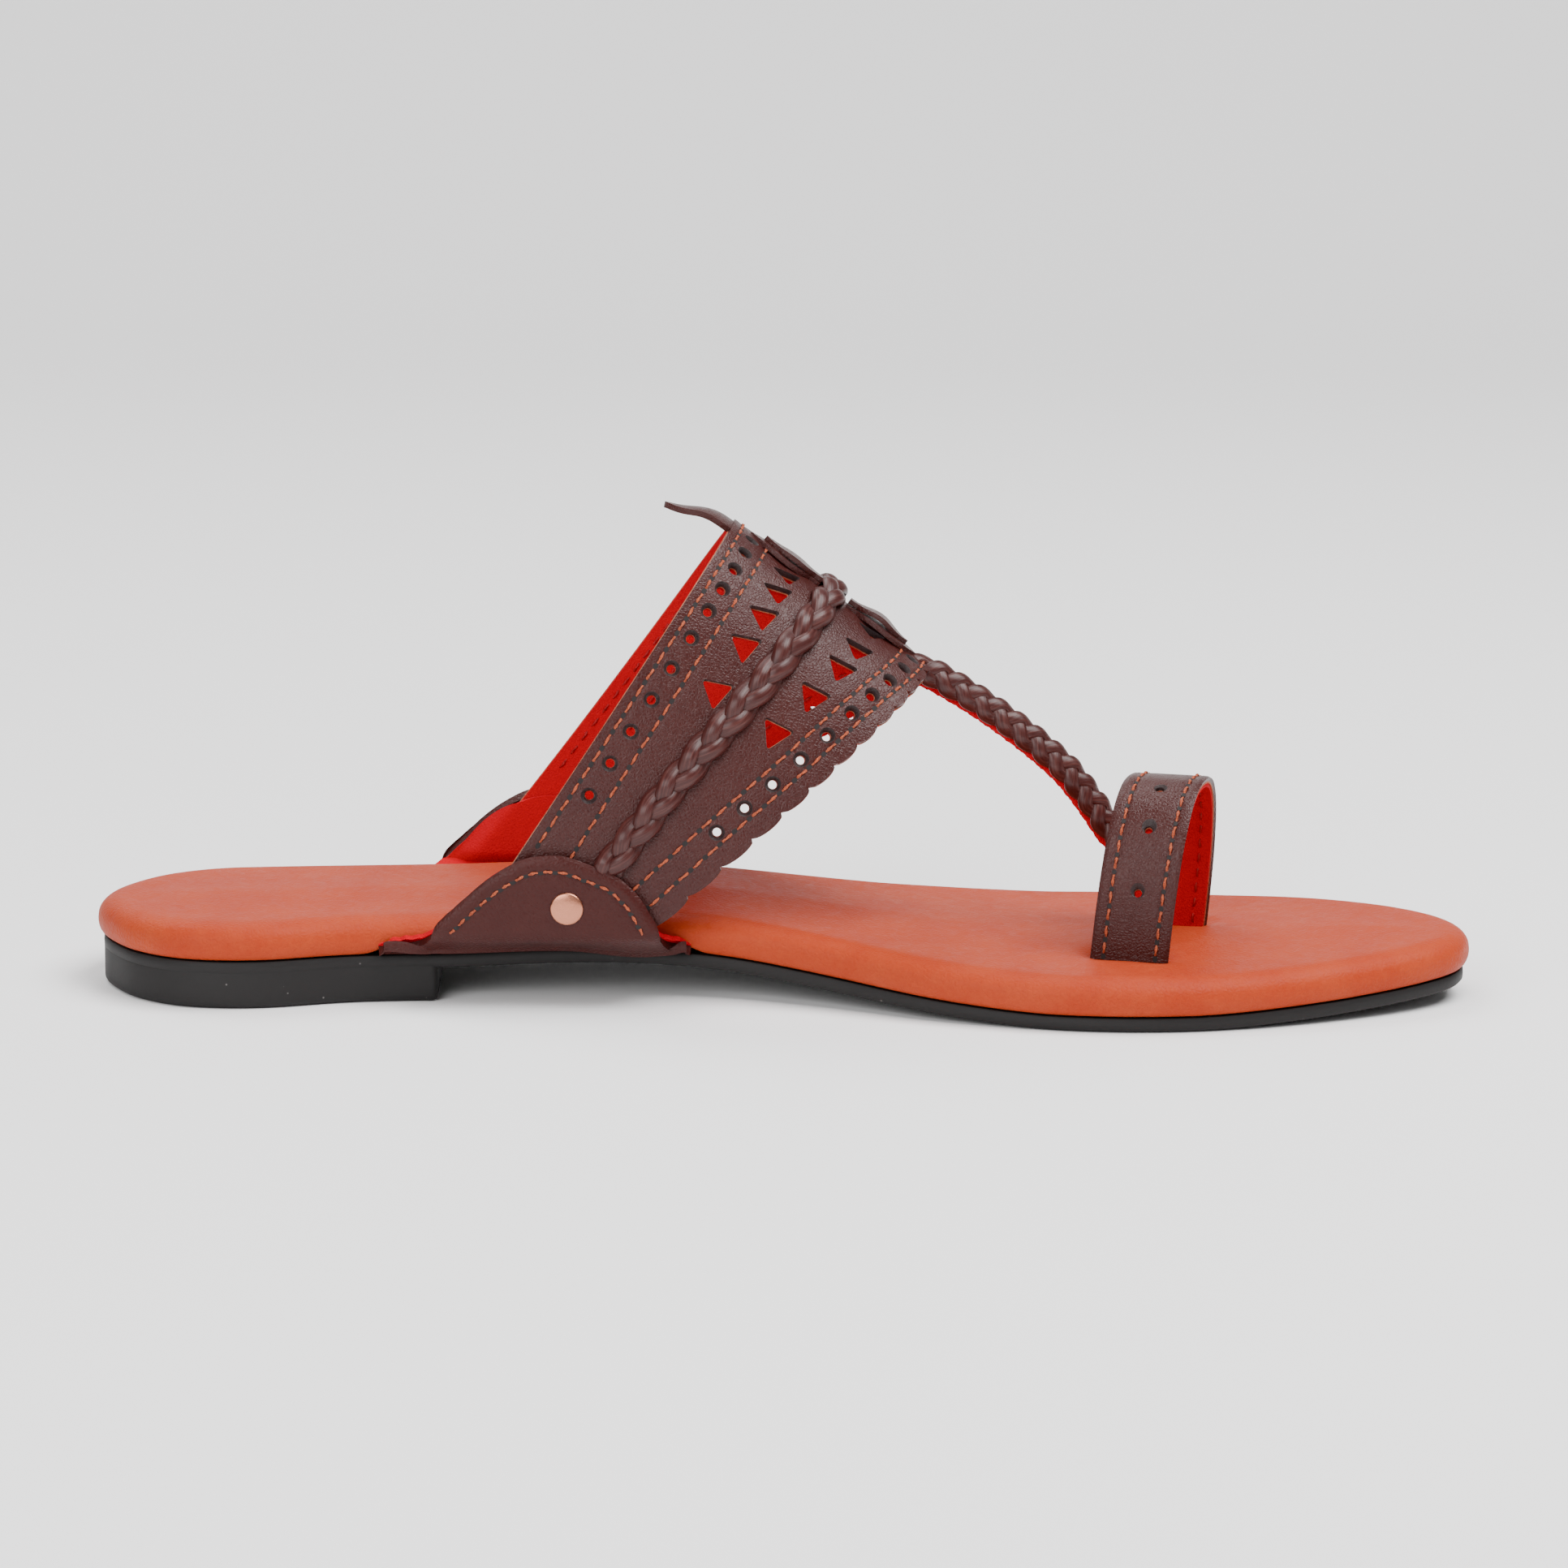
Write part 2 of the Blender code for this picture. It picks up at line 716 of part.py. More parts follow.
def rivet_mesh():
    """Turned profile of a rivet, from the dome on the flap down the shank to the flat inner head."""
    outside = STRAP_WALL + FLAP_WALL + 3 * CLEAR
    inside = -CLEAR
    arc = 4
    profile = []
    for i in range(arc + 1):
        angle = pi / 2 * (1 - i / arc)
        profile.append((RIVET_RADIUS * cos(angle), outside + RIVET_RIM + RIVET_DOME * sin(angle)))
    profile[0] = (0.0, profile[0][1])
    profile += [
        (RIVET_RADIUS, outside),
        (RIVET_SHANK, outside),
        (RIVET_SHANK, inside),
        (RIVET_BACK, inside),
        (RIVET_BACK, inside - RIVET_BACK_THICK),
        (0.0, inside - RIVET_BACK_THICK),
    ]
    bm = bmesh.new()
    verts = [bm.verts.new((x, 0, z)) for x, z in profile]
    edges = [bm.edges.new(pair) for pair in zip(verts, verts[1:])]
    bmesh.ops.spin(
        bm, geom=verts + edges, cent=(0, 0, 0), axis=(0, 0, 1), angle=2 * pi, steps=14, use_merge=True
    )
    return mesh_from(bm, "rivet")


def cross_braid_mesh():
    """Flat three-strand plait over the strap: bulges alternate left and right of its middle line."""
    angles = np.linspace(PLAIT_FOOT_ANGLE, pi - PLAIT_FOOT_ANGLE, 400)
    points = [rib_point(0.5, a) for a in angles]
    steps = [(q - p).length for p, q in zip(points, points[1:])]
    lengths = np.concatenate(([0.0], np.cumsum(steps)))
    reach = lengths[-1]
    count = int((reach - 2 * CROSS_TRIM) / CROSS_PITCH * 4)
    columns = 4

    def place(u, v):
        travelled = lerp(CROSS_TRIM, reach - CROSS_TRIM, u)
        angle = float(np.interp(travelled, lengths, angles))
        aside = 2 * v - 1
        breadth = strap_breadth(sin(angle) ** (2 / STRAP_ROUND))
        share = 0.5 + aside * CROSS_WIDTH / 2 / breadth
        phase = pi * travelled / CROSS_PITCH
        bulge = abs(sin(phase)) if aside < 0 else abs(cos(phase))
        if abs(aside) < 0.1:
            bulge = 0.75
        relief = CROSS_RELIEF * bulge * (1 - 0.7 * abs(aside) ** 3)
        return on_strap(share, angle, STRAP_WALL + CLEAR + CROSS_THICK + relief)

    top = sheet("cross_braid", count, columns, place)
    bm = bmesh.new()
    bm.from_mesh(top)
    made = bmesh.ops.extrude_face_region(bm, geom=bm.faces[:])
    for vert in [v for v in made["geom"] if isinstance(v, bmesh.types.BMVert)]:
        vert.co = drop_to_strap(vert.co)
    bmesh.ops.recalc_face_normals(bm, faces=bm.faces)
    bm.to_mesh(top)
    bm.free()
    return top


def drop_to_strap(point):
    """The nearest place a clearance above the strap, found along the strap's normal."""
    share, angle = 0.5, pi / 2
    for step in (0.2, 0.05, 0.012, 0.003, 0.0008):
        for _ in range(24):
            best = min(
                ((share + i * step, angle + j * step) for i in (-1, 0, 1) for j in (-1, 0, 1)
                 if 0 <= share + i * step <= 1 and 0.02 < angle + j * step < pi - 0.02),
                key=lambda pair: (rib_point(*pair) - point).length,
            )
            if best == (share, angle):
                break
            share, angle = best
    return on_strap(share, angle, STRAP_WALL + CLEAR)


def leaf_mesh(name, middle, size, height, waist):
    """A pointed leaf on the crown. Middle is a distance from the strap's rear edge; the waist end is cut blunt."""
    length, width = size
    columns, rows = 8, 4

    def place(u, v):
        run = 2 * u - 1
        taper = max(0.12, (1 - abs(run) ** 2.2) ** 0.75)
        if run * waist > 0.35:
            taper = max(taper, 0.55)
        distance = middle + run * length / 2
        share = distance / strap_breadth(1.0)
        aside = (2 * v - 1) * width / 2 * taper
        angle = pi / 2 + aside / (STRAP_WIDTH / 2)
        return on_strap(share, angle, height)

    return sheet(name, columns, rows, place)


def back_leaf_point(u, v, room=0.0):
    """Underside of the leaf that stands out behind the crown, from its root inside the strap's wall to its tip."""
    length, width = BACK_LEAF
    taper = max(0.10, (1 - abs(2 * u * 0.86 - 0.72) ** 2.4) ** 0.8)
    aside = (1 - 2 * v) * (width / 2 * taper + room)
    angle = pi / 2 + aside / (STRAP_WIDTH / 2)
    seat = (STRAP_WALL - LEAF_THICK) / 2 - room
    if u <= BACK_LEAF_ROOT:
        share = (BACK_LEAF_ROOT - u) * (length + room / BACK_LEAF_ROOT) / strap_breadth(1.0)
        return on_strap(share, angle, seat)
    beyond = (u - BACK_LEAF_ROOT) / (1 - BACK_LEAF_ROOT)
    reach = length * (1 - BACK_LEAF_ROOT) * beyond
    lift = BACK_LEAF_LIFT * (1 - (1 - beyond) ** 2)
    return on_strap(0.0, angle, seat) + Vector((-reach, 0, lift))


def back_leaf_mesh():
    return sheet("back_leaf", 10, 4, back_leaf_point)


def leaf_pocket_mesh():
    """Room in the strap's rear edge for the root of the back leaf."""
    return sheet("leaf_pocket", 4, 4, lambda u, v: back_leaf_point(u * 2 * BACK_LEAF_ROOT, v, CLEAR))


def material(name, colour, roughness, metallic=0.0):
    made = bpy.data.materials.new(name)
    made.use_nodes = True
    shader = next(node for node in made.node_tree.nodes if node.type == "BSDF_PRINCIPLED")
    linear = [((c + 0.055) / 1.055) ** 2.4 for c in colour]
    shader.inputs["Base Color"].default_value = (*linear, 1)
    shader.inputs["Roughness"].default_value = roughness
    shader.inputs["Metallic"].default_value = metallic
    return made


def hide(obj):
    obj.hide_render = True
    obj.display_type = "WIRE"
    return obj


def main():
    for obj in list(bpy.data.objects):
        bpy.data.objects.remove(obj, do_unlink=True)
    parts = bpy.data.collections.new(COLLECTION)
    helpers = bpy.data.collections.new(COLLECTION + "_cutters")
    for collection in (parts, helpers):
        bpy.context.scene.collection.children.link(collection)
    brown = material("upper_leather", LEATHER_BROWN, 0.45)
    tan = material("footbed_leather", LEATHER_TAN, 0.5)
    rubber = material("black_rubber", RUBBER_BLACK, 0.7)
    copper = material("copper", COPPER, 0.35, 1.0)

    new_object("outsole", outsole_mesh(), rubber, parts)
    heel = new_object("heel_block", heel_mesh(), rubber, parts)
    edge = heel.modifiers.new("rounded", "BEVEL")
    edge.width = HEEL_EDGE
    edge.segments = 2
    edge.limit_method = "ANGLE"
    edge.angle_limit = radians(50)

    footbed = new_object("footbed", footbed_mesh(), tan, parts)
    boolean(footbed, hide(new_object("loop_slots", slots_mesh(), None, helpers)), "DIFFERENCE")

    upper = new_object("upper", strap_mesh(), brown, parts)
    solidify(upper, STRAP_WALL)
    loop = hide(new_object("toe_loop", loop_mesh(), brown, helpers))
    solidify(loop, LOOP_WALL)
    thong = hide(new_object("toe_strap", thong_mesh(), brown, helpers))
    boolean(upper, thong, "UNION")
    boolean(upper, loop, "UNION")
    boolean(upper, hide(new_object("punches", punches_mesh(), None, helpers)), "DIFFERENCE")

    pocket = hide(new_object("leaf_pocket", leaf_pocket_mesh(), None, helpers))
    solidify(pocket, LEAF_THICK + 2 * CLEAR)
    boolean(upper, pocket, "DIFFERENCE")

    shank_room = RIVET_SHANK + CLEAR
    for side, word in ((-1, "inner"), (1, "outer")):
        flap = new_object(f"side_flap_{word}", flap_mesh(side), brown, parts)
        solidify(flap, FLAP_WALL)
        room = new_object(f"flap_room_{word}", flap_clearance(side, f"flap_room_{word}"), None, helpers)
        solidify(hide(room), FLAP_WALL + 2 * CLEAR, 1 - 2 * CLEAR / (FLAP_WALL + 2 * CLEAR))
        boolean(footbed, room, "DIFFERENCE")
        bore = bmesh.new()
        add_prism(bore, (12, shank_room), BORE_LENGTH)
        punch = hide(new_object(f"rivet_bore_{word}", mesh_from(bore, f"rivet_bore_{word}"), None, helpers))
        rivet = new_object(f"rivet_{word}", rivet_mesh(), copper, parts)
        punch.matrix_world = rivet.matrix_world = rivet_place(side)
        boolean(flap, punch, "DIFFERENCE")
        boolean(upper, punch, "DIFFERENCE")

    new_object("cross_braid", cross_braid_mesh(), brown, parts)
    middle = strap_breadth(1.0) / 2
    first = STRAP_WALL + CLEAR
    for word, way in (("back", -1), ("front", 1)):
        for layer, size, height in (
            ("base", LEAF_BASE, first),
            ("top", LEAF_TOP, first + LEAF_THICK + CLEAR),
        ):
            place = middle + way * (size[0] / 2 + LEAF_GAP + CROSS_WIDTH / 2)
            name = f"rosette_{word}_{layer}"
            leaf = new_object(name, leaf_mesh(name, place, size, height, -way), brown, parts)
            solidify(leaf, LEAF_THICK)
    tail = new_object("back_leaf", back_leaf_mesh(), brown, parts)
    solidify(tail, LEAF_THICK)


if __name__ == "__main__":
    main()
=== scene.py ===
"""Looks of the kolhapuri sandal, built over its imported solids: leather, plaits, stitches, rivets and rubber.

+X points to the toes, +Y to the outer side of the foot and +Z up, in metres. Stations are lengths from the
back of the heel. The strap is read by share, 0 at its rear edge to 1 at its scalloped front, and by angle,
0 at its inner foot over the crown to pi at its outer foot.
"""

from math import cos, exp, pi, radians, sin, sqrt, tau

import bmesh
import bpy
import numpy as np
from mathutils import Matrix, Vector


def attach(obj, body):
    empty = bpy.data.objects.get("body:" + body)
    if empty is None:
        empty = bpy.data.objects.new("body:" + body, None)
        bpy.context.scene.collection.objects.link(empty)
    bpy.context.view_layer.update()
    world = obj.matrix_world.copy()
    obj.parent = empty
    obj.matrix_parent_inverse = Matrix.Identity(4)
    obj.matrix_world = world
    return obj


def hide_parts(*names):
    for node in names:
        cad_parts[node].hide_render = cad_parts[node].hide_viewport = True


bl_info = {
    "name": "Kolhapuri sandal",
    "version": (1, 0, 0),
    "blender": (4, 5, 0),
    "location": "3D View > Sidebar > Sandal",
    "description": "Builds the leather, plaits, stitches and sole of a kolhapuri sandal over its solids",
    "category": "Object",
}

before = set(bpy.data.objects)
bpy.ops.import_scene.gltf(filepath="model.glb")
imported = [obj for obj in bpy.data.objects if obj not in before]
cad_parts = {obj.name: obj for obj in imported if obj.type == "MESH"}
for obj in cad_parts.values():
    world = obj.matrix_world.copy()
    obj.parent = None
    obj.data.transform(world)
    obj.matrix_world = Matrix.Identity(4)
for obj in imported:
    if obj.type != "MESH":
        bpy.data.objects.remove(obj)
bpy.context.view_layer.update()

# Camera, fitted to the photograph's outline
CAMERA_TARGET = (0.095, 0, 0.030)
CAMERA_AZIMUTH = radians(2.5)
CAMERA_ELEVATION = radians(11)
CAMERA_DISTANCE = 1.300
CAMERA_SHIFT = (0.0020, 0.0231)
WORLD_LIGHT = 0.22

# Sole
LENGTH = 0.250
BALL_WIDTH = 0.084
HEEL_CENTRE = 0.030
HEEL_LIFT = 0.0060
HEEL_LENGTH = 0.0630
OUTSOLE_THICK = 0.0025
OUTSOLE_INSET = 0.0011
OUTSOLE_ROUND = 0.0009
FOOTBED_THICK = 0.0068
FOOTBED_ROUND = 0.0050
TOE_SPRING = 0.0030
FOOTBED_CROWN = 0.0007
FOOTBED_DIMPLE = 0.0011
DIMPLE_REACH = 0.0022
HEEL_OVERLAP = 0.0014
HEEL_LEVEL = 0.25
CLEAR = 0.0003

# Instep strap
STRAP_WALL = 0.0022
LINING = 0.0007
FLESH = 0.0003
STRAP_FOOT = 0.0150
STRAP_BASE = (0.0705, 0.1040)
STRAP_CREST_REAR = (0.1152, 0.0827)
STRAP_CREST_FRONT = (0.1508, 0.0560)
STRAP_WIDTH = 0.0600
STRAP_CENTRE = (0.0070, 0.0040)
STRAP_ROUND = 2.15
OUTER_SHIFT = -0.0045
SCALLOPS = 26
SCALLOP_DEPTH = 0.0011

# Side flaps and rivets
FLAP_WALL = 0.0018
FLAP_HEIGHT = 0.0163
FLAP_REAR = 0.0535
FLAP_WIDTH = 0.0560
FLANGE = 0.0070
FLAP_LINING = 0.0008
FLAP_SEAM = 0.0020
FLAP_STITCH_PITCH = 0.0027
RIVET_RADIUS = 0.0030
RIVET_PLACE = (0.0879, 0.0190)

# Plaits
STRANDS = 3
CROSS_WIDTH = 0.0060
CROSS_PITCH = 0.0186
THONG_THICK = 0.0034
THONG_PITCH = 0.0129
THONG_SINK = 0.0040
THONG_END = 0.79

# Big-toe loop
LOOP_BAND = 0.0135
LOOP_WALL = 0.0020
LOOP_SPAN = 0.0330
LOOP_HEIGHT = 0.0305
LOOP_STATION = 0.1921
LOOP_OFFSET = -0.0055
LOOP_SKEW = radians(13)
LOOP_LEAN = radians(6)
LOOP_SUNK = 0.0036
LOOP_SEAM = 0.0020
LOOP_STITCH_PITCH = 0.0031
LOOP_HOLES = (-0.80, -0.50, -0.19, 0.14, 0.46, 0.78)

# Leaves
LEAF_THICK = 0.0009
BACK_LEAF_THICK = 0.0011
LEAF_ROUND = 0.00022
# Length and width
LEAF_BASE = (0.0155, 0.0100)
LEAF_TOP = (0.0128, 0.0076)
BACK_LEAF = (0.0150, 0.0072)
LEAF_GAP = 0.0004
BACK_LEAF_ROOT = 0.20
BACK_LEAF_LIFT = 0.0036

OUTLINE = (
    # station share, inner, outer
    (0.000, 0.000, 0.000),
    (0.012, -0.142, 0.142),
    (0.035, -0.250, 0.244),
    (0.075, -0.330, 0.320),
    (0.130, -0.338, 0.350),
    (0.200, -0.268, 0.375),
    (0.280, -0.240, 0.400),
    (0.370, -0.212, 0.408),
    (0.460, -0.212, 0.408),
    (0.540, -0.290, 0.430),
    (0.620, -0.405, 0.472),
    (0.700, -0.478, 0.494),
    (0.765, -0.492, 0.490),
    (0.830, -0.458, 0.456),
    (0.890, -0.388, 0.392),
    (0.940, -0.306, 0.284),
    (0.975, -0.226, 0.160),
    (0.992, -0.163, 0.062),
    (1.000, -0.060, -0.060),
)

PROFILE = (
    # station share, lift, spring
    (0.000, 1.00, 0.00),
    (0.250, 1.00, 0.00),
    (0.330, 1.09, 0.00),
    (0.400, 1.08, 0.00),
    (0.460, 0.90, 0.00),
    (0.520, 0.62, 0.00),
    (0.580, 0.33, 0.00),
    (0.640, 0.12, 0.00),
    (0.700, 0.00, 0.00),
    (0.800, 0.00, 0.00),
    (0.870, 0.00, 0.24),
    (0.930, 0.00, 0.55),
    (1.000, 0.00, 1.00),
)

DOME = (
    # height, rear, front
    (0.00, 0.000, 1.000),
    (0.07, 0.127, 0.925),
    (0.20, 0.185, 0.897),
    (0.38, 0.239, 0.868),
    (0.55, 0.294, 0.838),
    (0.68, 0.337, 0.804),
    (0.80, 0.385, 0.757),
    (0.90, 0.436, 0.686),
    (0.97, 0.482, 0.630),
    (1.00, 0.535, 0.590),
)

THONG_ARCH = (
    # way, rise
    (0.00, 0.000),
    (0.06, 0.030),
    (0.15, 0.046),
    (0.28, 0.059),
    (0.44, 0.064),
    (0.59, 0.056),
    (0.68, 0.037),
    (0.76, 0.014),
    (0.83, -0.008),
    (0.92, -0.014),
    (1.00, 0.000),
)

# Distances of the punched holes from the crown down each side
REAR_HOLES = (0.0036, 0.0079, 0.0122, 0.0168, 0.0216, 0.0274, 0.0338, 0.0403, 0.0470, 0.0537, 0.0605)
FRONT_HOLES = (0.0033, 0.0077, 0.0124, 0.0172, 0.0224, 0.0284, 0.0347, 0.0413, 0.0478, 0.0543)
REAR_TRIANGLES = (0.0062, 0.0109, 0.0165, 0.0230, 0.0326)
FRONT_TRIANGLES = (0.0046, 0.0108, 0.0162, 0.0237, 0.0330)
REAR_ROW = 0.0044
FRONT_ROW = 0.0038
REAR_TRIANGLE_ROW = 0.0132
FRONT_TRIANGLE_ROW = 0.0126
# How far the outer side's triangles sit behind the inner side's
TRIANGLE_LAG = 0.0022
REAR_STITCHES = (0.0018, 0.0075)
FRONT_STITCHES = (0.0017, 0.0063)
# How much wider the front margin gets from the crown down: rise, width
FRONT_MARGIN = ((0.0, 0.0028), (0.4, 0.0026), (0.6, 0.0021), (0.8, 0.0018), (0.9, 0.0013), (1.0, 0.0))
# Angle at which the rows of the strap end at its feet
STRAP_ROW_END = 0.02
STITCH_PITCH = 0.0036
STITCH_LENGTH = 0.0027
THREAD_WIDTH = 0.00058
UNDER_WIDTH = 0.0005
THREAD_SINK = 0.00038
# The leather's own length from the crown against the length along this shape, both in metres
LEATHER_RUN = ((0.0, 0.0), (0.017, 0.0262), (0.0274, 0.0388), (0.075, 0.0885))

# Mesh: points closer than this are one, and edges sharper than these angles stay hard
MERGE = 1e-6
SMOOTH_ANGLE = 38
CUT_ANGLE = 50

# Breadth of the soft patches of a second tone in leather
PATCH_MM = 14
# Colour sockets of the Mix node, whose names are shared by its number sockets
MIX_A, MIX_B, MIX_RESULT = 6, 7, 2


def lerp(a, b, share):
    return a + (b - a) * share


def smooth_step(share):
    share = min(max(share, 0.0), 1.0)
    return share * share * (3 - 2 * share)


def smooth_read(keys, values, key):
    """Reads a smooth curve through (keys, values), with the slope at each key taken from its neighbours."""
    last = len(keys) - 1
    key = min(max(key, keys[0]), keys[-1])
    right = min(max(int(np.searchsorted(keys, key, side="right")), 1), last)
    left = right - 1

    def slope(i):
        before, after = max(i - 1, 0), min(i + 1, last)
        return (values[after] - values[before]) / (keys[after] - keys[before])

    span = keys[right] - keys[left]
    t = (key - keys[left]) / span
    return (
        values[left] * (1 + 2 * t) * (1 - t) ** 2
        + values[right] * t * t * (3 - 2 * t)
        + span * slope(left) * t * (1 - t) ** 2
        - span * slope(right) * t * t * (1 - t)
    )


def turn_of(station):
    return float(np.arccos(np.clip(1 - 2 * station, -1, 1)))


OUTLINE_TURNS = [turn_of(row[0]) for row in OUTLINE]
OUTLINE_SIDES = {-1: [row[1] for row in OUTLINE], 1: [row[2] for row in OUTLINE]}
PROFILE_STATIONS, PROFILE_LIFTS, PROFILE_SPRINGS = zip(*PROFILE)
DOME_HEIGHTS, DOME_REAR, DOME_FRONT = zip(*DOME)
LEVEL = [row[0] for row in PROFILE if not row[1] and not row[2]]


def sole_edge(station, side):
    return BALL_WIDTH * smooth_read(OUTLINE_TURNS, OUTLINE_SIDES[side], turn_of(station))


def underside(station):
    lift = smooth_read(PROFILE_STATIONS, PROFILE_LIFTS, station)
    spring = smooth_read(PROFILE_STATIONS, PROFILE_SPRINGS, station)
    if station < HEEL_LEVEL:
        lift = 1.0
    if LEVEL[0] <= station <= LEVEL[-1]:
        lift, spring = 0.0, 0.0
    return max(lift, 0.0) * HEEL_LIFT + max(spring, 0.0) * TOE_SPRING


def outsole_top(station):
    return underside(station) + OUTSOLE_THICK


def footbed_top(station):
    return outsole_top(station) + CLEAR + FOOTBED_THICK


def along(station_length):
    return station_length - HEEL_CENTRE


def outline_loop(half_count):
    stations = [(1 - cos(pi * i / half_count)) / 2 for i in range(half_count + 1)]
    outer = [(station, sole_edge(station, 1)) for station in stations]
    inner = [(station, sole_edge(station, -1)) for station in stations]
    return outer + inner[-2:0:-1]


def inset_loop(loop, inset):
    points = [Vector((station * LENGTH, y)) for station, y in loop]
    moved = []
    for i, point in enumerate(points):
        tangent = (points[(i + 1) % len(points)] - points[i - 1]).normalized()
        moved.append(point + Vector((tangent.y, -tangent.x)) * inset)
    return moved


# The shape of the foot under the strap


def crest_at(share):
    return Vector(STRAP_CREST_REAR).lerp(Vector(STRAP_CREST_FRONT), share)


def foot_at(share):
    return Vector((lerp(*STRAP_BASE, share), STRAP_FOOT))


def outer_shift(rise):
    return OUTER_SHIFT * (1 - rise) ** 2


def rise_at(angle):
    return abs(sin(angle)) ** (2 / STRAP_ROUND)


def rib_point(share, angle):
    across = cos(angle)
    rise = rise_at(angle)
    aside = abs(across) ** (2 / STRAP_ROUND) * (1 if across > 0 else -1)
    place = foot_at(share).lerp(crest_at(share), rise)
    place.x += outer_shift(rise) if across < 0 else 0.0
    return Vector((along(place.x), lerp(*STRAP_CENTRE, rise) - aside * STRAP_WIDTH / 2, place.y))


def rib_normal(share, angle):
    step = 1e-3
    angle = min(max(angle, 2 * step), pi - 2 * step)
    around = rib_point(share, angle + step) - rib_point(share, angle - step)
    forward = rib_point(share + step, angle) - rib_point(share - step, angle)
    return around.cross(forward).normalized() * -1


def on_strap(share, angle, height=0.0):
    return rib_point(share, angle) + rib_normal(share, angle) * height


def strap_breadth(rise):
    run = ((crest_at(0) - foot_at(0)).normalized() + (crest_at(1) - foot_at(1)).normalized()).normalized()
    gap = foot_at(1).lerp(crest_at(1), rise) - foot_at(0).lerp(crest_at(0), rise)
    return abs(gap.x * run.y - gap.y * run.x)


def from_rear(distance):
    return lambda angle: distance / strap_breadth(rise_at(angle))


def from_front(distance):
    return lambda angle: 1 - distance / strap_breadth(rise_at(angle))


def front_margin(angle):
    return float(np.interp(rise_at(angle), *zip(*FRONT_MARGIN)))


def from_scallops(distance):
    """Share of a row that keeps its distance from the front edge and its margin, which widens downwards."""
    return lambda angle: 1 - (distance + front_margin(angle)) / strap_breadth(rise_at(angle))


def braid_line(angle):
    return 0.485 - 0.028 * sin(pi * min(rise_at(angle), 0.9) / 0.9) ** 2


def lengths_of(points):
    """Lengths from the first point to each point of a line."""
    steps = [(q - p).length for p, q in zip(points, points[1:])]
    return np.concatenate(([0.0], np.cumsum(steps)))


def run_lengths(share_of, side):
    """Angles from the crown to one foot of the strap, with the lengths along a row."""
    angles = np.linspace(pi / 2, STRAP_ROW_END if side < 0 else pi - STRAP_ROW_END, 300)
    return angles, lengths_of([rib_point(share_of(a), a) for a in angles])


def row_angles(share_of, distances, side):
    angles, lengths = run_lengths(share_of, side)
    return [float(np.interp(d, lengths, angles)) for d in distances]


def last_side(x, z, side):
    """Y of the strap's inner face at a place of the side view, and how far beyond its edges that lies."""
    share, rise, raw = 0.5, 0.0, 0.5
    for _ in range(40):
        height = lerp(STRAP_CREST_REAR[1], STRAP_CREST_FRONT[1], share) - STRAP_FOOT
        rise = min(max((z - STRAP_FOOT) / height, 0.0), 0.95)
        rear = lerp(STRAP_BASE[0], STRAP_CREST_REAR[0], rise)
        front = lerp(STRAP_BASE[1], STRAP_CREST_FRONT[0], rise)
        lag = outer_shift(rise) if side > 0 else 0.0
        raw = (x - lag - rear) / (front - rear)
        share = min(max(raw, 0.0), 1.0)
    half = STRAP_WIDTH / 2 * (1 - rise**STRAP_ROUND) ** (1 / STRAP_ROUND)
    beyond = max(-raw, raw - 1, 0.0) * (front - rear)
    return lerp(*STRAP_CENTRE, rise) + side * half, beyond


# Big-toe loop and toe strap


def loop_frame():
    station = LOOP_STATION / LENGTH
    foot = Vector((along(LOOP_STATION), LOOP_OFFSET, footbed_top(station)))
    across = Vector((sin(LOOP_SKEW), cos(LOOP_SKEW), 0))
    ahead = Vector((cos(LOOP_SKEW), -sin(LOOP_SKEW), 0))
    up = Vector((0, 0, 1)) * cos(LOOP_LEAN) + ahead * sin(LOOP_LEAN)
    return foot, across, up, ahead


LOOP = loop_frame()


def loop_point(run, breadth, height=0.0):
    """Point on the loop's inner face, from -1 at the inner leg over the top to +1, and past them down."""
    foot, across, up, ahead = LOOP
    beyond = max(abs(run) - 1, 0.0)
    angle = pi / 2 * min(max(run, -1), 1)
    aside = abs(sin(angle)) ** 0.8 * (1 if run > 0 else -1)
    rise = abs(cos(angle)) ** 0.8
    inner = LOOP_SPAN / 2 - LOOP_WALL
    place = foot + across * aside * (inner + height) + up * rise * (LOOP_HEIGHT - LOOP_WALL + height)
    return place - up * beyond + ahead * breadth * LOOP_BAND / 2


def thong_point(share):
    """Middle of the plaited toe strap."""
    slope = (rib_point(1.0, pi / 2) - rib_point(0.9, pi / 2)).normalized()
    start = on_strap(1.0, pi / 2, STRAP_WALL - CLEAR - THONG_THICK / 2) - slope * THONG_SINK
    end = loop_point(THONG_END, -1.0, LOOP_WALL / 2) + LOOP[3] * THONG_SINK
    chord = end - start
    rising = chord.cross(Vector((0, 1, 0))).normalized()
    return start + chord * share + rising * smooth_read(*zip(*THONG_ARCH), share) * chord.length


# Materials


def linear(hex_colour):
    """Linear RGBA of an sRGB hex colour."""
    values = [int(hex_colour[i : i + 2], 16) / 255 for i in (1, 3, 5)]
    return (*[v / 12.92 if v <= 0.04045 else ((v + 0.055) / 1.055) ** 2.4 for v in values], 1.0)


def connect(tree, node, links):
    """Links a node's inputs, given by name or number, to (node, output) pairs."""
    for name, (source, output) in links.items():
        tree.links.new(source.outputs[output], node.inputs[name])


def add_node(tree, kind, settings=None, links=None):
    """Adds a node, sets its values and its inputs by name or number, and links its inputs."""
    node = tree.nodes.new(kind)
    for name, value in (settings or {}).items():
        if isinstance(name, int) or name in node.inputs:
            node.inputs[name].default_value = value
        else:
            setattr(node, name, value)
    connect(tree, node, links or {})
    return node


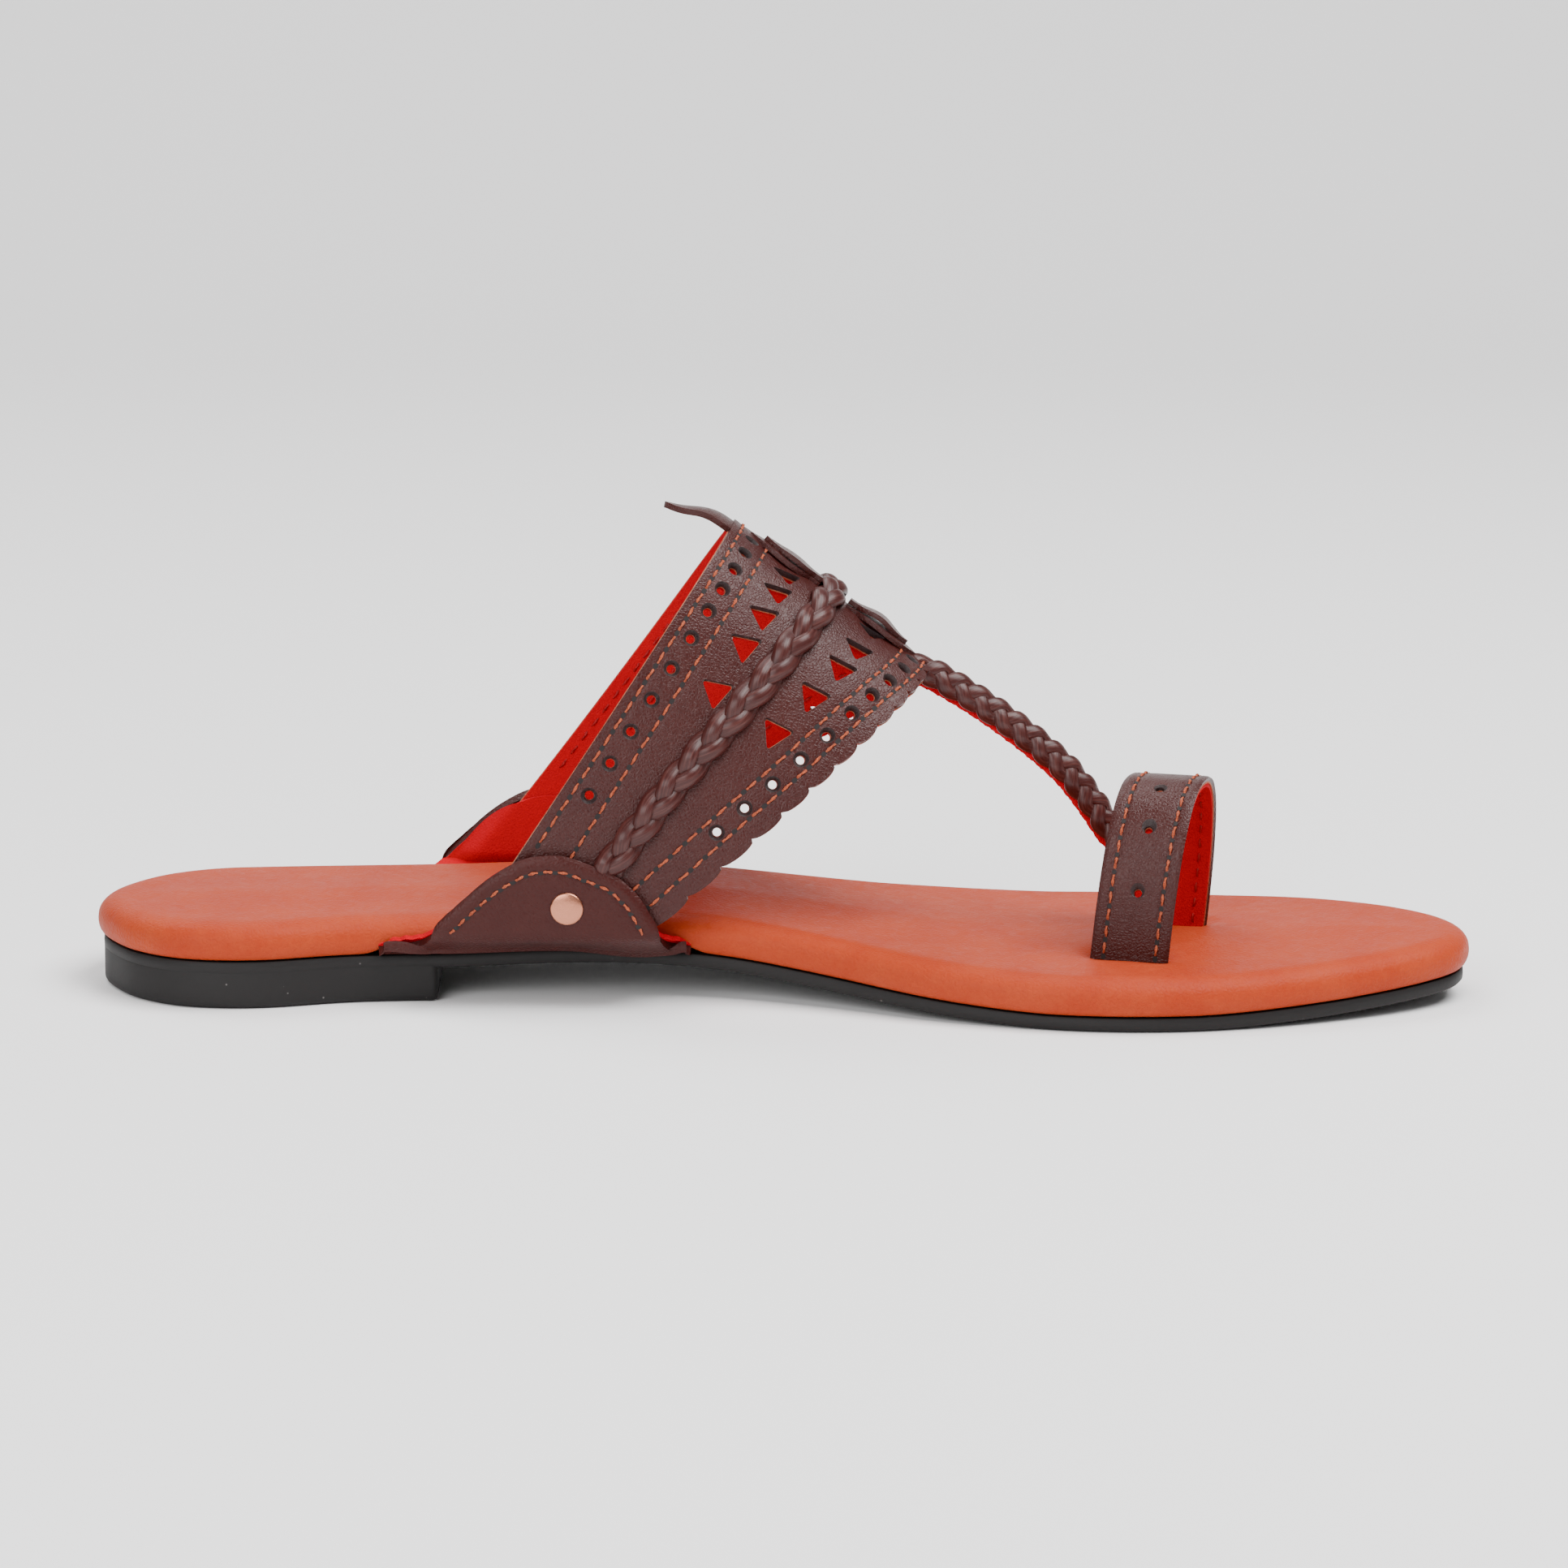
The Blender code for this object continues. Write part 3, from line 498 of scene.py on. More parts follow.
def new_material(name, base, roughness, **sockets):
    """A Principled material. Sockets are named with _ for each space."""
    made = bpy.data.materials.new(name)
    made.use_nodes = True
    tree = made.node_tree
    tree.nodes.clear()
    shader = add_node(tree, "ShaderNodeBsdfPrincipled", {"Base Color": linear(base), "Roughness": roughness})
    for socket, value in sockets.items():
        shader.inputs[socket.replace("_", " ")].default_value = value
    add_node(tree, "ShaderNodeOutputMaterial", links={"Surface": (shader, "BSDF")})
    return made, tree, shader


def object_place(tree, scale=(1, 1, 1)):
    """Object coordinates, in metres, so that a pattern keeps its real size."""
    where = add_node(tree, "ShaderNodeTexCoord")
    return add_node(tree, "ShaderNodeMapping", {"Scale": scale}, {"Vector": (where, "Object")})


def grained(name, base, light, roughness, grain_mm, depth_mm, patch, **sockets):
    """Leather: cracked pebble grain of a real size, soft patches of a second tone and broken gloss."""
    made, tree, shader = new_material(name, base, roughness, **sockets)
    place = {"Vector": (object_place(tree), "Vector")}
    warp = add_node(tree, "ShaderNodeTexNoise", {"Scale": 1000 / (grain_mm * 1.6), "Detail": 4.0}, place)
    shift = add_node(
        tree, "ShaderNodeVectorMath", {"operation": "SCALE", "Scale": grain_mm / 1100}, {0: (warp, "Color")}
    )
    moved = add_node(
        tree, "ShaderNodeVectorMath", {"operation": "ADD"}, {0: place["Vector"], 1: (shift, "Vector")}
    )
    crack = add_node(
        tree,
        "ShaderNodeTexVoronoi",
        {"feature": "DISTANCE_TO_EDGE", "Scale": 1000 / grain_mm, "Randomness": 1.0},
        {"Vector": (moved, "Vector")},
    )
    pebble = add_node(
        tree,
        "ShaderNodeMapRange",
        {"interpolation_type": "SMOOTHSTEP", "From Max": 0.28},
        {"Value": (crack, "Distance")},
    )
    crease = add_node(
        tree,
        "ShaderNodeTexNoise",
        {"Scale": 1000 / (grain_mm * 2.6), "Detail": 7.0, "Roughness": 0.66, "Distortion": 0.9},
        place,
    )
    cloud = add_node(
        tree, "ShaderNodeTexNoise", {"Scale": 1000 / PATCH_MM, "Detail": 4.0, "Roughness": 0.55}, place
    )
    spread = add_node(
        tree,
        "ShaderNodeMapRange",
        {"From Min": 0.35, "From Max": 0.72, "To Max": patch},
        {"Value": (cloud, "Fac")},
    )
    worn = add_node(
        tree,
        "ShaderNodeMapRange",
        {"From Min": 0.45, "From Max": 0.75, "To Max": patch * 0.7},
        {"Value": (crease, "Fac")},
    )
    toned = add_node(
        tree,
        "ShaderNodeMix",
        {"data_type": "RGBA", MIX_A: linear(base), MIX_B: linear(light)},
        {"Factor": (spread, "Result")},
    )
    rubbed = add_node(
        tree,
        "ShaderNodeMix",
        {"data_type": "RGBA", MIX_B: linear(light)},
        {"Factor": (worn, "Result"), MIX_A: (toned, MIX_RESULT)},
    )
    gloss = add_node(
        tree,
        "ShaderNodeMapRange",
        {"From Min": 0.3, "From Max": 0.7, "To Min": roughness - 0.07, "To Max": roughness + 0.10},
        {"Value": (crease, "Fac")},
    )
    relief = add_node(
        tree,
        "ShaderNodeMath",
        {"operation": "MULTIPLY_ADD", 1: 1.6},
        {0: (crease, "Fac"), 2: (pebble, "Result")},
    )
    bump = add_node(
        tree, "ShaderNodeBump", {"Strength": 0.8, "Distance": depth_mm / 1000}, {"Height": (relief, "Value")}
    )
    connect(tree, shader, {"Base Color": (rubbed, MIX_RESULT), "Roughness": (gloss, "Result")})
    connect(tree, shader, {"Normal": (bump, "Normal"), "Coat Normal": (bump, "Normal")})
    return made


def rubber(name):
    """Sheet rubber, moulded and buffed: matt black with pale dust specks."""
    black, dust_grey = "#171515", "#8C8684"
    made, tree, shader = new_material(name, black, 0.62, Specular_IOR_Level=0.3)
    place = {"Vector": (object_place(tree), "Vector")}
    speck = add_node(tree, "ShaderNodeTexVoronoi", {"Scale": 1000 / 3.2, "Randomness": 1.0}, place)
    dust = add_node(
        tree,
        "ShaderNodeMapRange",
        {"From Min": 0.075, "From Max": 0.035, "To Max": 0.4},
        {"Value": (speck, "Distance")},
    )
    mixed = add_node(
        tree,
        "ShaderNodeMix",
        {"data_type": "RGBA", MIX_A: linear(black), MIX_B: linear(dust_grey)},
        {"Factor": (dust, "Result")},
    )
    # Buffing grit, drawn 0.8 mm wide, as coarse as it needs to show
    grit = add_node(tree, "ShaderNodeTexNoise", {"Scale": 1000 / 0.8, "Detail": 5.0, "Roughness": 0.7}, place)
    relief = {"Strength": 0.35, "Distance": 0.00008}
    bump = add_node(tree, "ShaderNodeBump", relief, {"Height": (grit, "Fac")})
    connect(tree, shader, {"Base Color": (mixed, MIX_RESULT), "Normal": (bump, "Normal")})
    return made


def fibred(name, base, light, roughness, specular, place, noise, worn_range, bump_strength, bump_m):
    """Fibres in two tones. Place(tree) gives the coordinates that they follow."""
    made, tree, shader = new_material(name, base, roughness, Specular_IOR_Level=specular)
    fibre = add_node(tree, "ShaderNodeTexNoise", noise, {"Vector": (place(tree), "Vector")})
    worn = add_node(tree, "ShaderNodeMapRange", worn_range, {"Value": (fibre, "Fac")})
    mixed = add_node(
        tree,
        "ShaderNodeMix",
        {"data_type": "RGBA", MIX_A: linear(base), MIX_B: linear(light)},
        {"Factor": (worn, "Result")},
    )
    bump = add_node(
        tree, "ShaderNodeBump", {"Strength": bump_strength, "Distance": bump_m}, {"Height": (fibre, "Fac")}
    )
    connect(tree, shader, {"Base Color": (mixed, MIX_RESULT), "Normal": (bump, "Normal")})
    return made


def strand_leather(name, base, light):
    """Cut laces: brown leather with fibre lines along each lace, lighter where the bends are rubbed."""

    def along_lace(tree):
        # Metres along the lace and round it: fibres about 8 mm long and 0.3 mm wide
        where = add_node(tree, "ShaderNodeTexCoord")
        return add_node(tree, "ShaderNodeMapping", {"Scale": (130, 3300, 1)}, {"Vector": (where, "UV")})

    noise = {"Scale": 1.0, "Detail": 3.0, "Roughness": 0.6}
    worn_range = {"From Min": 0.45, "From Max": 0.72, "To Max": 0.7}
    return fibred(name, base, light, 0.36, 0.36, along_lace, noise, worn_range, 0.6, 0.00012)


def thread(name, base, light):
    """Waxed cotton thread, two plies twisted: matt, with lighter fibres about 0.25 mm long."""
    noise = {"Scale": 1000 / 0.25, "Detail": 3.0}
    worn_range = {"From Min": 0.4, "From Max": 0.7}
    return fibred(name, base, light, 0.62, 0.25, object_place, noise, worn_range, 0.4, 0.0001)


def copper(name):
    """Stamped copper: soft satin gloss with fine handling scratches."""
    made, tree, shader = new_material(name, "#C07F66", 0.32, Metallic=1.0)
    scratch = add_node(
        tree,
        "ShaderNodeTexNoise",
        {"Scale": 1000 / 0.7, "Detail": 6.0, "Roughness": 0.7},
        {"Vector": (object_place(tree, (1, 1, 4)), "Vector")},
    )
    gloss = add_node(
        tree,
        "ShaderNodeMapRange",
        {"From Min": 0.3, "From Max": 0.7, "To Min": 0.22, "To Max": 0.42},
        {"Value": (scratch, "Fac")},
    )
    relief = {"Strength": 0.15, "Distance": 0.00005}
    bump = add_node(tree, "ShaderNodeBump", relief, {"Height": (scratch, "Fac")})
    connect(tree, shader, {"Roughness": (gloss, "Result"), "Normal": (bump, "Normal")})
    return made


MATERIALS = {}


def material(name):
    """The named material, made at its first use."""
    if name not in MATERIALS:
        looks = bpy.context.scene.sandal_looks
        upper, upper_light = hex_of(looks.upper_colour), "#4C241F"
        makers = {
            # Vegetable-tanned cow leather, dyed and polished: dark brown, pinkish where light grazes it
            "brown_leather": lambda: grained(
                name, upper, upper_light, 0.36, 0.6, 0.06, 0.22,
                Specular_IOR_Level=0.15, Coat_Weight=0.28, Coat_Roughness=0.3,
            ),
            # The same leather on the flaps, unpolished and with smoother grain: an even, duller brown
            "flap_brown_leather": lambda: grained(
                name, upper, upper_light, 0.38, 0.9, 0.05, 0.22, Specular_IOR_Level=0.2
            ),
            # Soft sheep leather drawn over foam: orange tan, fine pebble, low gloss
            "tan_sheep_leather": lambda: grained(
                name, hex_of(looks.footbed_colour), "#BA5430", 0.50, 0.9, 0.05, 0.25, Specular_IOR_Level=0.13
            ),
            # Dyed split leather, brushed: saturated red with a soft nap
            "red_suede_lining": lambda: grained(
                name, hex_of(looks.lining_colour), "#C00018", 0.9, 0.6, 0.06, 0.4, Specular_IOR_Level=0.1
            ),
            # Undyed fibres where the leather was cut: orange and fuzzy
            "raw_leather_edge": lambda: grained(name, "#9C3E22", "#D08A66", 0.8, 0.5, 0.12, 0.6),
            # Inside of a punched hole: the dyed edge of the leather, painted nearly black as the shade inside
            # the hole
            "punched_wall_dye_and_shade": lambda: grained(name, "#1E0E0E", "#341A19", 0.6, 0.5, 0.05, 0.3),
            # Laces cut from the same leather: fibre lines and rubbed bends
            "brown_laces": lambda: strand_leather(name, upper, "#5A322D"),
            # Waxed cotton on the face of the leather: rust orange with paler fibres
            "orange_thread": lambda: thread(name, hex_of(looks.thread_colour), "#B8603E"),
            # The under thread, on the lining: a darker red that hardly stands out
            "red_thread": lambda: thread(name, "#7E0A10", "#A8141C"),
            # Leather pierced by the needle: a small pit between two stitches, painted near black as the shade
            # inside the hole
            "needle_hole_painted_shade": lambda: new_material(name, "#140A0A", 0.8)[0],
            # Moulded black rubber sheet: matt, with dust
            "black_rubber": lambda: rubber(name),
            # Stamped copper, tumbled: satin with a warm pale highlight
            "satin_copper": lambda: copper(name),
        }
        MATERIALS[name] = makers[name]()
    return MATERIALS[name]


def hex_of(colour):
    return "#%02X%02X%02X" % tuple(round(min(max(c, 0.0), 1.0) * 255) for c in colour[:3])


# Mesh helpers


def piece(name, bm, finish, nodes=(), angle=SMOOTH_ANGLE):
    """Turns a bmesh into a piece of the sandal that rides on its one body."""
    bmesh.ops.remove_doubles(bm, verts=bm.verts, dist=MERGE)
    mesh = bpy.data.meshes.new(name)
    bm.to_mesh(mesh)
    bm.free()
    obj = bpy.data.objects.new(name, mesh)
    bpy.context.scene.collection.objects.link(obj)
    mesh.materials.append(material(finish))
    mesh.shade_smooth()
    mesh.set_sharp_from_angle(angle=radians(angle))
    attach(obj, "root")
    if nodes:
        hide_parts(*nodes)
    return obj


def outwards(bm):
    bmesh.ops.remove_doubles(bm, verts=bm.verts, dist=MERGE)
    bmesh.ops.recalc_face_normals(bm, faces=bm.faces)


def grid(bm, columns, rows, place):
    """A grid whose points are moved by place(u, v), both from 0 to 1. Returns its faces."""
    made = bmesh.ops.create_grid(bm, x_segments=columns, y_segments=rows, size=0.5)["verts"]
    faces = {face for vert in made for face in vert.link_faces}
    for vert in made:
        vert.co = place(vert.co.x + 0.5, vert.co.y + 0.5)
    return list(faces)


def thicken(obj, thickness):
    """Gives a sheet its thickness, outwards from the face that it was drawn on."""
    wall = obj.modifiers.new("wall", "SOLIDIFY")
    wall.thickness = thickness
    wall.offset = 1.0
    wall.use_even_offset = False


def settle(obj, angle=SMOOTH_ANGLE):
    """Replaces the object's mesh by what its modifiers make of it."""
    graph = bpy.context.evaluated_depsgraph_get()
    mesh = bpy.data.meshes.new_from_object(obj.evaluated_get(graph))
    obj.modifiers.clear()
    old = obj.data
    obj.data = mesh
    bpy.data.meshes.remove(old)
    mesh.name = obj.name
    mesh.shade_smooth()
    mesh.set_sharp_from_angle(angle=radians(angle))


def soften(obj, width, segments=3):
    """Rounds the cut edges of a piece a little and keeps the result."""
    edge = obj.modifiers.new("rounded", "BEVEL")
    edge.width = width
    edge.segments = segments
    edge.limit_method = "ANGLE"
    edge.angle_limit = radians(CUT_ANGLE)
    settle(obj, CUT_ANGLE)


def punch(obj, cutter_bm, walls):
    """Cuts the cutter out of the object, with the cut walls in the named material."""
    mesh = bpy.data.meshes.new("punches")
    bmesh.ops.recalc_face_normals(cutter_bm, faces=cutter_bm.faces)
    cutter_bm.to_mesh(mesh)
    cutter_bm.free()
    mesh.materials.append(material(walls))
    cutter = bpy.data.objects.new("punches", mesh)
    bpy.context.scene.collection.objects.link(cutter)
    cutter.hide_render = True
    before = len(obj.data.polygons)
    cut = obj.modifiers.new("punched", "BOOLEAN")
    cut.operation = "DIFFERENCE"
    cut.solver = "EXACT"
    cut.material_mode = "TRANSFER"
    cut.object = cutter
    settle(obj)
    bpy.data.objects.remove(cutter)
    # Punches that touch each other would empty the whole mesh
    if len(obj.data.polygons) < before:
        raise RuntimeError(f"The punches took away too much of {obj.name}")


def frame_at(point, normal, down):
    """Matrix with Z along the normal and Y along down."""
    y = (down - normal * down.dot(normal)).normalized()
    x = y.cross(normal)
    return Matrix.Translation(point) @ Matrix((x, y, normal)).transposed().to_4x4()


def sweep(bm, path, normals, section):
    """Draws a closed section along a path and caps it. Section(i) lists (aside, up) pairs in order."""
    layer = bm.loops.layers.uv.verify()
    count = len(section(0))
    last = len(path) - 1
    ring = bmesh.ops.create_circle(bm, cap_ends=False, segments=count, radius=1.0)["verts"]
    rows = [ring]
    for _ in range(last):
        rim = [edge for vert in rows[-1] for edge in vert.link_edges if edge.other_vert(vert) in rows[-1]]
        made = bmesh.ops.extrude_edge_only(bm, edges=list(set(rim)))["geom"]
        fresh = {v for v in made if isinstance(v, bmesh.types.BMVert)}
        follow = []
        for vert in rows[-1]:
            follow.append(next(e.other_vert(vert) for e in vert.link_edges if e.other_vert(vert) in fresh))
        rows.append(follow)
    travelled = 0.0
    spots = {}
    for i, row in enumerate(rows):
        tangent = (path[min(i + 1, last)] - path[max(i - 1, 0)]).normalized()
        up = (normals[i] - tangent * normals[i].dot(tangent)).normalized()
        aside = up.cross(tangent)
        travelled += (path[i] - path[i - 1]).length if i else 0.0
        for k, (vert, (y, z)) in enumerate(zip(row, section(i))):
            vert.co = path[i] + aside * y + up * z
            spots[vert] = (travelled, k / count)
    # UV map in metres, for patterns that follow a lace
    around = section(0)
    breadth = sum((Vector(a) - Vector(b)).length for a, b in zip(around, around[1:] + around[:1]))
    faces = {face for row in rows for vert in row for face in vert.link_faces}
    for face in faces:
        shares = [spots[corner.vert][1] for corner in face.loops]
        wraps = max(shares) - min(shares) > 0.5
        for corner in face.loops:
            distance, share = spots[corner.vert]
            share += 1.0 if wraps and share < 0.5 else 0.0
            corner[layer].uv = (distance, share * breadth)
    for row in (rows[0], rows[-1]):
        bmesh.ops.contextual_create(bm, geom=row)


def rounded(angle, power):
    """Cosine and sine of an angle, raised to a power below 1 to make a circle squarer."""
    return tuple(abs(part) ** power * (1 if part > 0 else -1) for part in (cos(angle), sin(angle)))


def oval(width, thick, count=14):
    """Points round a rounded flat section."""
    corners = [rounded(tau * k / count, 0.85) for k in range(count)]
    return [(y * width / 2, z * thick / 2) for y, z in corners]


def lace(width, thick):
    """Section of a cut lace: nearly flat below and domed above, with round edges."""
    ring = []
    for k in range(12):
        angle = tau * k / 12
        z = sin(angle) * thick * (0.62 if sin(angle) > 0 else 0.38)
        ring.append((rounded(angle, 0.9)[0] * width / 2, z))
    return ring


def disc(count):
    return [(cos(tau * k / count), sin(tau * k / count)) for k in range(count)]


def rounded_triangle(corner=0.13):
    """Triangle in a circle of radius 1, pointing up its second axis, with rounded corners."""
    ring = []
    for k in range(3):
        middle = pi / 2 + tau * k / 3
        centre = Vector((cos(middle), sin(middle))) * (1 - corner)
        for j in range(5):
            angle = middle + radians(60) * (j / 2 - 1)
            ring.append((centre.x + cos(angle) * corner, centre.y + sin(angle) * corner))
    return ring


def stitch_row(bm, point_of, normal_of, count, start, pitch, length, width=THREAD_WIDTH):
    """Twisted two-ply stitches along a line. point_of(d) and normal_of(d) read it by its length."""
    steps = 7
    for i in range(count):
        middle = start + pitch * (i + 0.5)
        path, normals = [], []
        lean = 0.00009 * sin(i * 2.4)
        for k in range(steps + 1):
            share = k / steps * 2 - 1
            distance = middle + share * length / 2
            normal = normal_of(distance)
            ahead = (point_of(distance + 1e-4) - point_of(distance - 1e-4)).normalized()
            height = (1 - abs(share) ** 3) * (width * 0.30 + THREAD_SINK) - THREAD_SINK
            path.append(point_of(distance) + normal * height + normal.cross(ahead) * lean * share)
            normals.append(normal)

        def section(k, turn=i):
            twist = pi * (k / steps * 1.6 + turn * 0.37)
            slim = 0.72 + 0.28 * (1 - abs(k / steps * 2 - 1) ** 3)
            ring = []
            for j in range(8):
                angle = tau * j / 8
                radius = width / 2 * slim * (0.80 + 0.24 * cos(2 * (angle - twist)))
                ring.append((radius * cos(angle), radius * sin(angle)))
            return ring

        sweep(bm, path, normals, section)


def pierced_row(bm, point_of, normal_of, count, start, pitch, size=(0.00060, 0.00044)):
    """Pits where the thread goes through, as shallow dishes; their near-black colour is painted shade."""
    for i in range(count + 1):
        distance = start + pitch * i
        point, normal = point_of(distance), normal_of(distance)
        down = (point_of(distance + 1e-4) - point_of(distance - 1e-4)).normalized()
        made = bmesh.ops.create_cone(
            bm, cap_ends=True, segments=10, radius1=0.0006, radius2=0.0010, depth=0.0005
        )["verts"]
        size_matrix = Matrix.Diagonal((size[1] / 0.001, size[0] / 0.001, 1, 1))
        bmesh.ops.transform(
            bm, matrix=frame_at(point + normal * -0.00021, normal, down) @ size_matrix, verts=made
        )


def strap_reader(share_of, height):
    """Readers of a strap row by the leather's own length from the crown, below 0 on the inner side."""
    tables = {}
    for side in (-1, 1):
        angles, lengths = run_lengths(share_of, side)
        shape, own = zip(*LEATHER_RUN)
        tables[side] = (np.interp(lengths, shape, own), angles)

    def angle_of(distance):
        side = -1 if distance < 0 else 1
        return float(np.interp(abs(distance), *tables[side]))

    def point_of(distance):
        angle = angle_of(distance)
        return on_strap(share_of(angle), angle, height)

    def normal_of(distance):
        angle = angle_of(distance)
        return rib_normal(share_of(angle), angle)

    return point_of, normal_of


# Strap


STRAP_ROWS = [from_rear(d) for d in REAR_STITCHES] + [from_scallops(d) for d in FRONT_STITCHES]


def seam_dip(share, angle):
    """How far the stitches pull the leather in at a place of the strap."""
    breadth = strap_breadth(rise_at(angle))
    dip = 0.0
    for row in STRAP_ROWS:
        away = (share - row(angle)) * breadth
        dip += exp(-((away / 0.0007) ** 2))
    return -0.00014 * dip


def scallop_tip(u, angle):
    wave = (u * SCALLOPS) % 1.0
    depth = SCALLOP_DEPTH * (1 - sqrt(max(0.0, 1 - (2 * wave - 1) ** 2)))
    return from_front(depth)(angle)


def strap_layer(bm, height, columns, rows, grow=0.0, relief=False):
    """One layer of the instep strap at a height over the foot, a little larger at its long edges."""

    def place(u, v):
        angle = pi * u
        rear = from_rear(-grow)(angle)
        tip = scallop_tip(u, angle) + grow / strap_breadth(rise_at(angle))
        share = lerp(tip, rear, v)
        return on_strap(share, angle, height + (seam_dip(share, angle) if relief else 0.0))

    return grid(bm, columns, rows, place)


def strap_cutters(base, top, round_radii, side_radii):
    """Tapered punches for the round holes and the triangles, wide at the top and narrow at the base."""
    bm = bmesh.new()
    rows = (
        (disc(20), round_radii, from_rear(REAR_ROW), REAR_HOLES, 0),
        (disc(20), round_radii, from_scallops(FRONT_ROW), FRONT_HOLES, 0),
        (rounded_triangle(), side_radii, from_rear(REAR_TRIANGLE_ROW), REAR_TRIANGLES, radians(-26)),
        (rounded_triangle(), side_radii, from_front(FRONT_TRIANGLE_ROW), FRONT_TRIANGLES, radians(-15)),
    )
    for ring, radii, share_of, distances, turn in rows:
        for side in (-1, 1):
            for distance, angle in zip(distances, row_angles(share_of, distances, side)):
                share = share_of(angle)
                # The outer side's triangles sit a little further back
                share -= TRIANGLE_LAG / strap_breadth(rise_at(angle)) if turn and side > 0 else 0.0
                normal = rib_normal(share, angle)
                down = (rib_point(share, angle + side * 0.01) - rib_point(share, angle)).normalized()
                down = Matrix.Rotation(turn * side, 3, normal) @ down
                # Holes near the crown are shorter, where the leather is drawn together
                squash = min((0.50 if turn else 0.62) + distance / 0.045, 1.0)
                shape = [(y, z * squash) for y, z in ring]
                add_punch(bm, shape, radii, rib_point(share, angle), normal, down, base, top)
    return bm


def add_punch(bm, ring, radii, point, normal, down, base, top):
    """One punch that reaches past both heights. Radii are for the base, two thirds up and the top."""
    low, waist, high = radii
    span = top - base
    flare = (high - waist) / (span / 3)
    heights = (base - 0.0006, base, base + span * 2 / 3, top, top + 0.0006)
    sizes = (low, low, waist, high, high + flare * 0.0006)
    path = [point + normal * height for height in heights]
    sweep(bm, path, [down] * 5, lambda i: [(y * sizes[i], z * sizes[i]) for y, z in ring])


def build_strap():
    """Instep strap: polished leather, its raw split and the red lining, all punched through."""
    face, split = STRAP_WALL, LINING + FLESH
    layers = (
        # name, base, top, grow, columns, rows, material, round, triangle, relief
        ("strap_leather", split, face, 0.0, 12, 84, "brown_leather", (0.00084, 0.00112, 0.00150),
         (0.00300, 0.00306, 0.00322), True),
        ("strap_split", LINING, split, 0.00012, 8, 12, "raw_leather_edge", (0.00080, 0.00080, 0.00080),
         (0.00288, 0.00288, 0.00288), False),
        ("strap_lining", 0.0, LINING, 0.0, 8, 12, "red_suede_lining", (0.00078, 0.00078, 0.00078),
         (0.00295, 0.00295, 0.00295), False),
    )
    for name, base, top, grow, fine, rows, finish, round_radii, side_radii, relief in layers:
        bm = bmesh.new()
        strap_layer(bm, base, SCALLOPS * fine, rows, grow, relief)
        nodes = ("upper",) if name == "strap_leather" else ()
        obj = piece(name, bm, finish, nodes)
        thicken(obj, top - base)
        # The polished layer's cut walls are near black: a dyed edge with painted shade inside the holes
        walls = "punched_wall_dye_and_shade" if relief else finish
        punch(obj, strap_cutters(base, top, round_radii, side_radii), walls)


def build_strap_stitches():
    """Orange stitches on the strap with the pits between them, and the red thread on its lining."""
    threads, pits, under = bmesh.new(), bmesh.new(), bmesh.new()
    half_count = int(LEATHER_RUN[-1][1] / STITCH_PITCH)
    for row in STRAP_ROWS:
        start, count = -half_count * STITCH_PITCH, 2 * half_count
        point_of, normal_of = strap_reader(row, STRAP_WALL - 0.0001)
        stitch_row(threads, point_of, normal_of, count, start, STITCH_PITCH, STITCH_LENGTH)
        pierced_row(pits, point_of, normal_of, count, start, STITCH_PITCH)
        point_of, normal_of = strap_reader(row, 0.0)
        inwards = lambda d, read=normal_of: -read(d)
        stitch_row(under, point_of, inwards, count, start, STITCH_PITCH, STITCH_LENGTH, UNDER_WIDTH)
    piece("strap_stitches", threads, "orange_thread")
    # The pits are near black: painted shade of the needle holes
    piece("strap_stitch_pits", pits, "needle_hole_painted_shade")
    piece("lining_stitches", under, "red_thread")


# Plaits


def plait(bm, reader, start, end, pitch, amplitude, lift, section, steps, wobble, bend=None):
    """Laces over and under each other. reader(d) gives (point, aside, up) at a length along the plait.

    With bend = (half width, height) they are drawn over a domed core of that section.
    """
    count = int((end - start) / pitch * steps)
    for strand in range(STRANDS):
        path, normals = [], []
        for i in range(count + 1):
            distance = lerp(start, end, i / count)
            turn = tau * (distance - start) / pitch + tau * strand / STRANDS
            point, aside, up = reader(distance)
            loose = 1 + wobble * sin(turn * 0.61 + strand * 2.1)
            across = amplitude * sin(turn) * loose
            over = lift * sin(2 * turn) * (1 + wobble * sin(turn * 1.3 + strand))
            if bend:
                angle = across / bend[0]
                reach = Vector((sin(angle) * (bend[0] + over), cos(angle) * (bend[1] + over)))
                spot = point + aside * reach.x + up * reach.y
                normal = up * cos(angle) * bend[0] + aside * sin(angle) * bend[1]
            else:
                spot = point + aside * across + up * over
                normal = up + aside * 0.42 * sin(turn)
            path.append(spot)
            normals.append(normal.normalized())
        sweep(bm, path, normals, lambda _i: section)


def build_cross_braid():
    """Flat three-lace plait from flap to flap over the strap, its ends pushed through slits in it."""
    bm = bmesh.new()
    foot = 0.10
    angles = np.linspace(foot, pi - foot, 700)
    lengths = lengths_of([rib_point(braid_line(a), a) for a in angles])
    reach = float(lengths[-1])
    base = STRAP_WALL + 0.0009
    ends = 0.0062

    def reader(distance):
        angle = float(np.interp(distance, lengths, angles))
        share = braid_line(angle)
        up = rib_normal(share, angle)
        step = 2e-3
        tangent = (rib_point(braid_line(angle + step), angle + step) - rib_point(share, angle)).normalized()
        dive = smooth_step((ends - min(distance, reach - distance)) / 0.004)
        return on_strap(share, angle, base - dive * 0.0022), up.cross(tangent).normalized(), up

    plait(
        bm, reader, ends * 0.4, reach - ends * 0.4, CROSS_PITCH, 0.00162, 0.00080, lace(0.0031, 0.0015),
        steps=40, wobble=0.06,
    )
    piece("cross_braid_laces", bm, "brown_laces", ("cross_braid",))


